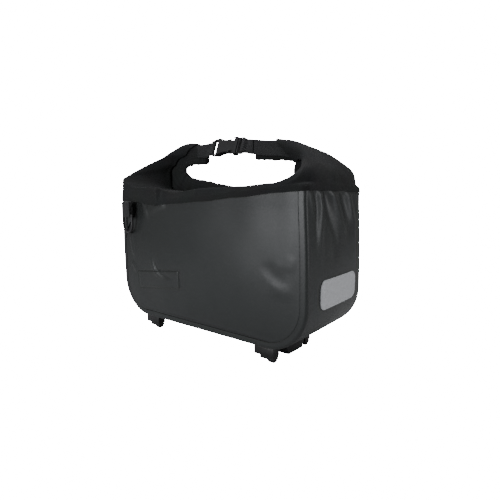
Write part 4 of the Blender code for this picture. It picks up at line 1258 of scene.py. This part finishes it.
@dataclass(frozen=True)
class Strap:
    """A flat strap along a plane line, its width along a third way."""

    width: float
    thickness: float
    spacing: float = 0.0009

    def build(self, name: str, line: Sequence[Point], place: Callable[[Array, Array, Array], Array]
              ) -> bpy.types.Object:
        """Makes the strap.

        Args:
            name: Name of the new piece.
            line: The strap's middle as u and v.
            place: Turns arrays of u, v and w to places in the world.

        Returns:
            The piece.
        """
        path = np.asarray(line, dtype=float)
        runs = runs_along(path)
        fine = np.linspace(0.0, runs[-1], max(int(runs[-1] / self.spacing), 8))
        path = np.stack([np.interp(fine, runs, path[:, k]) for k in (0, 1)], axis=-1)
        along = unit(np.gradient(path, axis=0))
        across = np.stack([-along[:, 1], along[:, 0]], axis=-1)
        soft = self.thickness * 0.35
        half, deep = self.width / 2, self.thickness / 2
        low = np.linspace(-half + soft, half - soft, 13)
        cut = soft * 0.3
        section = [(w, deep) for w in low]
        section += [(half - cut, deep - cut), (half, deep - soft), (half, soft - deep),
                    (half - cut, cut - deep)]
        section += [(-w, -side) for w, side in section]
        w, side = np.array(section).T
        spots = path[:, None] + across[:, None] * side[None, :, None]
        rings = place(spots[..., 0], spots[..., 1], np.broadcast_to(w[None, :], spots.shape[:2]))
        plane = np.stack(np.broadcast_arrays(fine[:, None], w[None, :]), axis=-1)
        piece = Modeller.tube(name, rings, plane)
        Modeller.smooth(piece, 45.0)
        return piece


@dataclass
class Fastening:
    """Webbing on the roll's two ends, and the side-release buckle that joins them."""

    form: BagForm
    path: RollPath
    finishes: Finishes
    strap: Strap = Strap(0.022, 0.0014)
    shown_left: float = 0.019
    shown_right: float = 0.068
    tail: float = 0.012
    lean: float = -20.0
    lift: float = 0.0020
    width: float = 0.0285
    thickness: float = 0.0095
    flat: float = 0.0056
    space: float = 0.0036
    bar: float = 0.0032
    female_bar: float = 0.0310
    female_slot: float = 0.0090
    male_bar: float = 0.0330
    male_slot: float = 0.0070
    prong: float = 0.024
    shell: tuple[Point, ...] = (
        # share of the shell's length from its slot to its mouth, share of half the width
        (0.0, 1.0), (0.10, 0.98), (0.20, 0.88), (0.30, 0.78), (0.40, 0.71), (0.50, 0.69),
        (0.60, 0.72), (0.70, 0.82), (0.80, 0.93), (0.90, 0.97),
    )
    arm: tuple[Point, ...] = (
        # share of the arm's length back from the mouth, how far it stands out past its reach
        (1.0, -0.0036), (1.0, -0.0008), (0.76, 0.0), (0.62, 0.0008), (0.50, 0.0022),
        (0.34, 0.0030), (0.20, 0.0018), (0.0, 0.0),
    )
    arm_reach: float = 0.52

    def __post_init__(self) -> None:
        """Works out the line between the roll's two tips, and the buckle's place on it."""
        ends = []
        for share in (0.0, 1.0):
            centre, _, half = self.path.at(np.array([share]))
            ends.append(Vector(centre[0]) + Vector((0.0, 0.0, half[0] - self.strap.width / 2)))
        left, right = ends
        self.span = (right - left).length
        self.along = (right - left).normalized()
        self.up = Vector((-self.along.z, 0.0, self.along.x))
        middle = left + self.along * (self.span * 0.5)
        level = -(self.path.thickness / 2 + self.form.gap + self.strap.thickness / 2)
        self.base = Vector((middle.x, level, middle.z))
        self.bend = self.bar / math.sqrt(2) + self.form.gap + self.strap.thickness / 2

    def build_webbing(self, node: str, sign: float, bar: float, shown: float) -> None:
        """Makes one end's webbing: sewn on the roll, round the buckle's bar and back on itself."""
        tip = sign * self.span / 2
        edge = bar + sign * self.bar * 0.75
        beside = bar + sign * self.bar * 1.75
        tail = beside + sign * self.tail
        bend = self.bend
        line = [(tip + sign * (shown - self.strap.thickness), 0.0), (tip, 0.0), (beside, 0.0)]
        for turn in np.linspace(math.pi / 2, math.pi / 2 + sign * math.pi, 13):
            line.append((bar + bend * math.cos(turn), -bend + bend * math.sin(turn)))
        line += [(edge, -2 * bend), (beside, -self.strap.thickness - self.form.gap),
                 (tail, -self.strap.thickness - self.form.gap)]
        base, along, up = (np.array(v) for v in (self.base, self.along, self.up))

        def place(u: Array, v: Array, w: Array) -> Array:
            """Puts the strap on the roll beyond its tip, and leans it towards the buckle."""
            share = 1.0 - ease((np.abs(u) - abs(edge)) / (abs(tip) - abs(edge)))
            turn = np.radians(self.lean) * share
            deep = v * np.cos(turn) - w * np.sin(turn)
            high = v * np.sin(turn) + w * np.cos(turn) + self.lift * share
            spot = base + along * u[..., None] + up * high[..., None]
            spot = spot + np.array([0.0, 1.0, 0.0]) * deep[..., None]
            beyond = (np.abs(u) - abs(tip)) / self.path.runs[-1]
            centre, out, half = self.path.at(np.where(sign < 0.0, beyond, 1.0 - beyond))
            on_roll = centre + out * (half - self.strap.width / 2 + w)[..., None]
            on_roll[..., 1] = base[1] + v
            return np.where((beyond > 0.0)[..., None], on_roll, spot)

        piece = self.strap.build(f"{node}_strap", line, place)
        self.finishes.dress(piece, "webbing_black", "bag", node)

    def set_in(self, piece: bpy.types.Object) -> None:
        """Moves a part made round the buckle's middle, as x along it and z across, to its place."""
        turn = Matrix((self.along, Vector((0.0, 1.0, 0.0)), self.up)).transposed().to_4x4()
        lean = Matrix.Rotation(math.radians(self.lean), 4, "X")
        move = Matrix.Translation((0.0, -self.bend, 0.0))
        spot = Matrix.Translation(self.base + self.up * self.lift)
        Modeller.settle(piece, spot @ turn @ lean @ move)

    @staticmethod
    def mirrored(half: Sequence[Point]) -> list[Point]:
        """A closed outline from its upper half, given left to right."""
        return list(half) + [(u, -w) for u, w in reversed(half) if w > 0]

    def build_female(self) -> bpy.types.Object:
        """Makes the body: a bar and a slot at its left, and a waisted shell with side notches."""
        wide, thin = self.width / 2, self.bar / 2
        left = -self.female_bar - thin
        body = -self.female_bar + thin + self.female_slot
        mouth = self.male_bar - thin - self.male_slot - self.bar / 2
        length = mouth - body
        rows = [(left, wide * 0.84), (left + 0.0010, wide * 0.90), (left + self.bar, wide * 0.96),
                (body - 0.003, wide * 0.99)]
        rows += [(body + length * share, wide * width) for share, width in self.shell]
        rows += [(mouth - 0.0008, wide * 0.96), (mouth, wide * 0.92)]
        piece = Modeller.outline("buckle_female_shell", self.mirrored(rows), self.thickness)
        slot = self.strap.width / 2 + self.form.gap
        flat, step = self.flat / 2, body + self.bar / 2
        pocket, reach = self.space / 2 + self.form.gap, wide * self.arm_reach
        notch = (body + length * 0.66, body + length * 0.84)
        cuts = [
            ((left - thin, -wide, -wide * 2), (step, -flat, wide * 2)),
            ((left - thin, flat, -wide * 2), (step, wide, wide * 2)),
            ((left + self.bar, -wide, -slot), (body, wide, slot)),
            ((left - thin, -wide, -wide * 2), (left + self.bar + self.form.gap, -thin, wide * 2)),
            ((left - thin, thin, -wide * 2), (left + self.bar + self.form.gap, wide, wide * 2)),
            ((mouth - self.prong - thin, -pocket, -reach), (mouth + thin, pocket, reach)),
        ]
        for way in (1.0, -1.0):
            across = sorted((way * reach * 1.12, way * wide * 0.86))
            cuts.append(((notch[0], -wide, across[0]), (notch[1], wide, across[1])))
        for way in (1.0, -1.0):
            across = sorted((way * reach * 0.8, way * wide * 2))
            cuts.append(((notch[0] - 0.006, -pocket, across[0]), (notch[1], pocket, across[1])))
        for k, (low, high) in enumerate(cuts):
            Modeller.combine(piece, Modeller.block(f"cut_{k}", low, high))
        Modeller.plain(piece)
        Modeller.rounded(piece, 0.0010, 3, 35.0)
        return piece

    def build_male(self) -> bpy.types.Object:
        """Makes the male part: a bar and a slot, a collar at the mouth and two arms."""
        wide, thin = self.width / 2, self.bar / 2
        mouth = self.male_bar - thin - self.male_slot - self.bar / 2
        root, end = mouth + self.form.gap, self.male_bar + thin
        reach = wide * self.arm_reach - self.form.gap
        slot = self.strap.width / 2 + self.form.gap
        upper = [(root - self.prong * 0.75, 0.0014), (root - self.form.gap, 0.0018),
                 (root - self.form.gap, reach - 0.0040)]
        upper += [(root - self.prong * share, reach + out) for share, out in self.arm]
        upper += [(root, wide * 0.90), (root + 0.0006, wide * 0.93), (end - self.bar, wide * 0.95),
                  (end - 0.0008, wide * 0.90), (end, wide * 0.84)]
        piece = Modeller.outline("buckle_male_part", self.mirrored(upper), self.space)
        Modeller.combine(piece, Modeller.block("cut_slot", (end - self.bar - 0.0046, -wide, -slot),
                                               (end - self.bar, wide, slot)))
        shoulder = Modeller.block("shoulder", (root, -0.0034, -wide * 0.88),
                                  (root + 0.0026, 0.0034, wide * 0.88))
        Modeller.combine(piece, shoulder, "UNION")
        Modeller.rounded(piece, 0.0005, 2, 35.0)
        return piece

    def build(self) -> None:
        """Makes and dresses the webbing and the buckle."""
        self.build_webbing("webbing_left", -1.0, -self.female_bar, self.shown_left)
        self.build_webbing("webbing_right", 1.0, self.male_bar, self.shown_right)
        for build, node in ((self.build_female, "buckle_female"), (self.build_male, "buckle_male")):
            piece = build()
            self.set_in(piece)
            Modeller.smooth(piece, 35.0)
            self.finishes.dress(piece, "moulded_plastic_black", "bag", node)


@dataclass
class RingSet:
    """A D-ring and the folded webbing that holds it, at each ring corner."""

    form: BagForm
    finishes: Finishes
    tab: Strap = Strap(0.022, 0.0014)
    wire: float = 0.0040
    width: float = 0.0300
    height: float = 0.0330
    place_x: float = 0.166
    drop: float = 0.0240
    proud: float = 0.0010

    def place(self, side: Side) -> Matrix:
        """Where a ring's bar is: x along it, y out from the wall, z up."""
        form, way = self.form, side.value
        spot = np.array([way * self.place_x]), np.array([way * form.deep])
        height = form.foot + float(form.seam_height(*spot)[0]) - self.drop
        turn = Matrix.Rotation(0.0 if side is Side.FRONT else math.pi, 4, "Z")
        out = form.deep + self.proud + self.wire
        return turn @ Matrix.Translation((-self.place_x, -out, height))

    def build_tab(self, side: Side) -> bpy.types.Object:
        """Makes the folded webbing, from under the collar round the ring's bar and up again."""
        gap = self.form.gap
        bend = self.wire / 2 + gap + self.tab.thickness / 2
        top = self.drop - 3 * gap
        line = [(-bend, top), (-bend, 0.0)]
        line += [(bend * math.cos(turn), bend * math.sin(turn))
                 for turn in np.linspace(math.pi, math.tau, 13)[1:]]
        line.append((bend, top))
        where = np.array(self.place(side))

        def place(u: Array, v: Array, w: Array) -> Array:
            """Puts the strap's line in y and z, and its width along x."""
            return np.stack([w, u, v], axis=-1) @ where[:3, :3].T + where[:3, 3]

        return self.tab.build(f"ring_tab_{side.name.lower()}_fold", line, place)

    def build_ring(self, side: Side) -> bpy.types.Object:
        """Makes the ring: a straight bar and a round bow below it."""
        half = self.width / 2 - self.wire / 2
        straight = self.tab.width / 2 + self.form.gap
        corner, low = half - straight, self.height - self.wire
        path = [(u, 0.0) for u in np.linspace(-straight, straight, 14)]
        path += [(straight + corner * math.sin(t), -corner * (1 - math.cos(t)))
                 for t in np.linspace(0.0, math.pi / 2, 6)[1:]]
        path += [(half, -(corner + (low - half - corner) * t)) for t in (0.33, 0.66)]
        path += [(half * math.cos(t), -(low - half) - half * math.sin(t))
                 for t in np.linspace(0.0, math.pi, 25)]
        path += [(-half, -(corner + (low - half - corner) * t)) for t in (0.66, 0.33)]
        path += [(-straight - corner * math.sin(t), -corner * (1 - math.cos(t)))
                 for t in np.linspace(math.pi / 2, 0.0, 6)[:-1]]
        line = np.array(path)
        along = unit(np.roll(line, -1, axis=0) - np.roll(line, 1, axis=0))
        turn = np.linspace(0.0, math.tau, 17)[:-1]
        flat = self.wire / 2 * np.cos(turn)[None, :, None]
        across = np.stack([-along[:, 1], along[:, 0]], axis=-1)[:, None] * flat + line[:, None]
        deep = np.broadcast_to(self.wire / 2 * np.sin(turn)[None, :], across.shape[:2])
        rings = np.stack([across[..., 0], deep, across[..., 1]], axis=-1)
        plane = np.stack(np.broadcast_arrays(np.arange(len(line))[:, None] * MM,
                                             np.arange(16)[None, :] * MM), axis=-1)
        piece = Modeller.tube(f"d_ring_{side.name.lower()}_wire", rings, plane, cyclic=True)
        Modeller.settle(piece, self.place(side))
        Modeller.smooth(piece, 60.0)
        return piece

    def build(self) -> None:
        """Makes and dresses both rings and both tabs."""
        for side in Side:
            label = side.name.lower()
            self.finishes.dress(self.build_tab(side), "webbing_black", "bag", f"ring_tab_{label}")
            self.finishes.dress(self.build_ring(side), "moulded_plastic_black", f"{label}_ring",
                                f"d_ring_{label}")


@dataclass
class Reflector:
    """The reflective patch on the right end, with a low rim."""

    body: Body
    finishes: Finishes
    width: float = 0.102
    height: float = 0.039
    low: float = 0.0550
    shift: float = 0.003
    thickness: float = 0.0008
    rim: float = 0.0016
    rim_height: float = 0.0003

    def build(self) -> None:
        """Makes and dresses the patch, which follows the end's cloth."""
        form = self.body.form
        radius = self.height * 0.30
        half = self.width / 2
        up = np.linspace(0.0, 1.0, 49)
        up = (0.5 - 0.5 * np.cos(math.pi * up)) * self.height
        edge = np.minimum(up, self.height - up)
        cut = radius - np.sqrt(np.maximum(radius ** 2 - np.maximum(radius - edge, 0.0) ** 2, 0.0))
        spread = -np.cos(math.pi * np.linspace(0.0, 1.0, 97))
        y = spread[:, None] * (half - cut)[None, :]
        v = np.broadcast_to(up[None, :], y.shape)
        corner = np.hypot(np.maximum(np.abs(y) - (half - radius), 0.0),
                          np.maximum(np.abs(v - self.height / 2) - (self.height / 2 - radius), 0.0))
        inside = np.minimum(np.minimum(half - np.abs(y), edge[None, :]), radius - corner)
        proud = form.gap + self.thickness - 0.0003 * (1.0 - ease(inside / 0.0004))
        proud += self.rim_height * ease((self.rim - inside) / 0.0006) * ease(inside / 0.0005)
        y, z = y + self.shift, v + self.low
        crown = 1.0 - (y / (form.deep - form.edge_radius)) ** 2
        out = form.end_bulge * crown * np.sin(np.pi * z / form.seam)
        out = out + self.body.end_relief(y, z, 1.0) + proud
        sine = np.clip((form.bottom_radius - z) / form.bottom_radius, 0.0, 1.0)
        cosine = np.sqrt(1.0 - sine ** 2)
        x = form.flat_half + (form.bottom_radius + out) * cosine + form.swell(z)
        points = np.stack([x, y, form.foot + z - out * sine], axis=-1)
        piece = Modeller.cloth("reflector_patch", points, np.stack([y, z], axis=-1),
                               self.thickness * 0.9, 60.0)
        self.finishes.dress(piece, "reflective_film_silver", "bag", "reflector")


@dataclass
class RackAdapter:
    """A moulded plate under the body with a block and two hooks that grip the rack."""

    form: BagForm
    finishes: Finishes
    name: str
    x: float
    length: float = 0.043
    span: float = 0.112
    shift: float = 0.0055
    thickness: float = 0.010
    block_span: float = 0.052
    block_drop: float = 0.0175
    block_inset: float = 0.0030
    slope: float = 0.4
    seat: float = 0.0080
    hook_y: float = 0.043
    jaw: tuple[float, float, float] = (0.035, 0.015, 0.0135)
    lip: tuple[float, float, float] = (0.025, 0.012, 0.0050)
    lobe_diameter: float = 0.0120
    lobe_length: float = 0.014
    lobe_shift: float = 0.0100
    lobe_round: float = 0.0042
    sunk: float = 0.0015

    @property
    def low(self) -> float:
        """Height of the plate's underside."""
        return self.form.foot - self.form.gap - self.thickness

    def build_plate(self) -> bpy.types.Object:
        """Makes the plate, its block and the two rail seats."""
        x, half, low = self.x, self.length / 2, self.low
        piece = Modeller.block(f"rack_plate_{self.name}_moulding",
                               (x - half, self.shift - self.span / 2, low),
                               (x + half, self.shift + self.span / 2, low + self.thickness))
        Modeller.rounded(piece, 0.0015, 3)
        drop, span = low - self.block_drop, self.block_span / 2
        block = Modeller.block("block", (x - half + self.block_inset, -span, drop),
                               (x + half - self.block_inset, span, low + self.sunk))
        for vertex in block.data.vertices:
            if vertex.co.z < low:
                vertex.co.y -= math.copysign(self.block_drop * self.slope, vertex.co.y)
        Modeller.rounded(block, 0.0010, 2)
        Modeller.combine(piece, block, "UNION")
        for way in (-1.0, 1.0):
            across = way * (span + self.hook_y - self.jaw[1] / 2) / 2
            seat = Modeller.block("seat", (x - half + self.block_inset, across - self.seat / 2,
                                           low - self.form.gap),
                                  (x + half - self.block_inset, across + self.seat / 2,
                                   low + self.sunk))
            Modeller.combine(piece, seat, "UNION")
        Modeller.smooth(piece, 35.0)
        return piece

    def build_hook(self, label: str, y: float) -> bpy.types.Object:
        """Makes a jaw with a lip and a round lobe that hooks under the rack's rail."""
        top = self.low - self.form.gap
        length, width, drop = self.jaw
        x = self.x - (self.length - length) / 2
        low = top - drop
        piece = Modeller.block(f"rack_hook_{self.name}_{label}_jaw",
                               (x - length / 2, y - width / 2, low),
                               (x + length / 2, y + width / 2, top))
        Modeller.rounded(piece, 0.0008, 2)
        lobe_x = x + self.lobe_shift
        right = lobe_x + self.lobe_length / 2
        lip = Modeller.block("lip", (right - self.lip[0], y - self.lip[1] / 2, low - self.lip[2]),
                             (right, y + self.lip[1] / 2, low + self.lip[2] / 2))
        Modeller.rounded(lip, 0.0008, 2)
        Modeller.combine(piece, lip, "UNION")
        Modeller.clear_selection()
        bpy.ops.mesh.primitive_cylinder_add(vertices=40, radius=self.lobe_diameter / 2,
                                            depth=self.lobe_length, rotation=(0.0, math.pi / 2, 0.0),
                                            location=(lobe_x, y, self.lobe_diameter / 2))
        lobe = bpy.context.active_object
        lobe.name = "lobe"
        bpy.ops.object.transform_apply(location=True, rotation=True, scale=True)
        Modeller.rounded(lobe, self.lobe_round, 6)
        Modeller.combine(piece, lobe, "UNION")
        Modeller.smooth(piece, 35.0)
        return piece

    def build(self) -> None:
        """Makes and dresses the plate and its hooks."""
        slot = "moulded_plastic_black"
        self.finishes.dress(self.build_plate(), slot, "bag", f"rack_plate_{self.name}")
        for label, way in (("front", -1.0), ("back", 1.0)):
            self.finishes.dress(self.build_hook(label, way * self.hook_y), slot, "bag",
                                f"rack_hook_{self.name}_{label}")


@dataclass(frozen=True)
class SoftLight:
    """A soft area light: where it stands and points, its width and height, and its watts."""

    name: str
    place: tuple[float, float, float]
    aim: tuple[float, float, float]
    size: Point
    power: float

    def build(self, colour: str) -> None:
        """Adds the light in a colour."""
        data = bpy.data.lights.new(self.name, "AREA")
        data.shape = "RECTANGLE"
        data.size, data.size_y = self.size
        data.energy = self.power
        data.color = linear(colour)[:3]
        light = bpy.data.objects.new(self.name, data)
        bpy.context.scene.collection.objects.link(light)
        way = Vector(self.place) - Vector(self.aim)
        turn = way.to_track_quat("Z", "Y").to_matrix().to_4x4()
        light.matrix_world = Matrix.Translation(self.place) @ turn


@dataclass(frozen=True)
class Studio:
    """White world, soft lights, a pale floor and the camera at the photograph's angle."""

    azimuth: float = 39.23
    elevation: float = 7.03
    distance: float = 0.5975
    roll: float = -0.86
    focal: float = 376.3
    aim: tuple[float, float, float] = (0.0419, 0.0, 0.1524)
    backdrop: float = 40.0
    fill: float = 0.23
    light_colour: str = "#fafbff"
    lights: tuple[SoftLight, ...] = (
        SoftLight("soft_front", (-0.42, -1.5, 0.46), (0.1, 0.0, 0.15), (0.5, 0.9), 11.2),
        SoftLight("soft_right", (1.5, -0.15, 0.25), (0.15, 0.0, 0.12), (0.4, 0.6), 0.9),
        SoftLight("soft_flank", (1.7, 0.62, 0.30), (0.19, 0.0, 0.15), (0.22, 0.8), 4.4),
        SoftLight("soft_top", (0.1, -0.1, 1.5), (0.0, 0.0, 0.1), (1.2, 0.8), 9.0),
        SoftLight("soft_back", (-0.45, 1.5, 0.50), (0.0, 0.0, 0.18), (0.8, 0.9), 6.0),
        SoftLight("soft_left", (-1.5, 0.50, 0.40), (-0.1, 0.0, 0.18), (0.5, 0.8), 3.2),
    )

    def build_camera(self) -> None:
        """Sets the camera, whose lens follows from a focal length in pixels of a 500 pixel image."""
        az, el, tilt = (math.radians(v) for v in (self.azimuth, self.elevation, self.roll))
        back = Vector((math.sin(az) * math.cos(el), -math.cos(az) * math.cos(el), math.sin(el)))
        level = Vector((math.cos(az), math.sin(az), 0.0))
        raised = back.cross(level)
        right = level * math.cos(tilt) + raised * math.sin(tilt)
        up = raised * math.cos(tilt) - level * math.sin(tilt)
        data = bpy.data.cameras.new("camera")
        data.sensor_width = 36.0
        data.lens = self.focal / 500.0 * 36.0
        data.clip_start = 0.01
        data.clip_end = 50.0
        camera = bpy.data.objects.new("camera", data)
        bpy.context.scene.collection.objects.link(camera)
        turn = Matrix((right, up, back)).transposed().to_4x4()
        place = Vector(self.aim) + back * self.distance
        camera.matrix_world = Matrix.Translation(place) @ turn
        bpy.context.scene.camera = camera

    def build_world(self) -> None:
        """Sets an even near-white world."""
        world = bpy.data.worlds.new("studio")
        world.use_nodes = True
        tree = world.node_tree
        fill = tree.nodes["Background"]
        fill.inputs["Color"].default_value = linear("#fbfaf8")
        fill.inputs["Strength"].default_value = self.fill
        seen = tree.nodes.new("ShaderNodeBackground")
        seen.inputs["Strength"].default_value = self.backdrop
        path = tree.nodes.new("ShaderNodeLightPath")
        choice = tree.nodes.new("ShaderNodeMixShader")
        tree.links.new(path.outputs["Is Camera Ray"], choice.inputs[0])
        tree.links.new(fill.outputs[0], choice.inputs[1])
        tree.links.new(seen.outputs[0], choice.inputs[2])
        tree.links.new(choice.outputs[0], tree.nodes["World Output"].inputs["Surface"])
        bpy.context.scene.world = world

    def build_floor(self) -> None:
        """Adds the pale floor."""
        Modeller.clear_selection()
        bpy.ops.mesh.primitive_plane_add(size=12.0, location=(0.0, 0.0, -0.0005))
        floor = bpy.context.active_object
        floor.name = "floor"
        work = NodeWork("pale_studio_paper")
        path = work.add("ShaderNodeLightPath")
        glow = work.add("ShaderNodeMapRange", Value=path.outputs["Is Camera Ray"], To_Min=0.0,
                        To_Max=self.backdrop)
        work.set(Base_Color=linear("#d4d4d4"), Roughness=0.9, Specular_IOR_Level=0.1,
                 Emission_Color=linear("#ffffff"), Emission_Strength=glow.outputs["Result"])
        floor.data.materials.append(work.material)

    def build(self) -> None:
        """Sets the whole studio."""
        self.build_camera()
        self.build_world()
        self.build_floor()
        for light in self.lights:
            light.build(self.light_colour)


def main() -> None:
    """Builds the studio and every piece of the bag, in order."""
    logging.basicConfig(level=logging.INFO, format="%(name)s %(message)s")
    Studio().build()
    finishes = Finishes()
    form = BagForm()
    path = RollPath(form)
    body = Body(form, finishes)
    body.build()
    Collar(form, path, finishes).build()
    ClosureRoll(form, path, finishes).build()
    Fastening(form, path, finishes).build()
    RingSet(form, finishes).build()
    Reflector(body, finishes).build()
    RackAdapter(form, finishes, "left", -0.1475).build()
    RackAdapter(form, finishes, "right", 0.109).build()


if __name__ == "__main__":
    main()
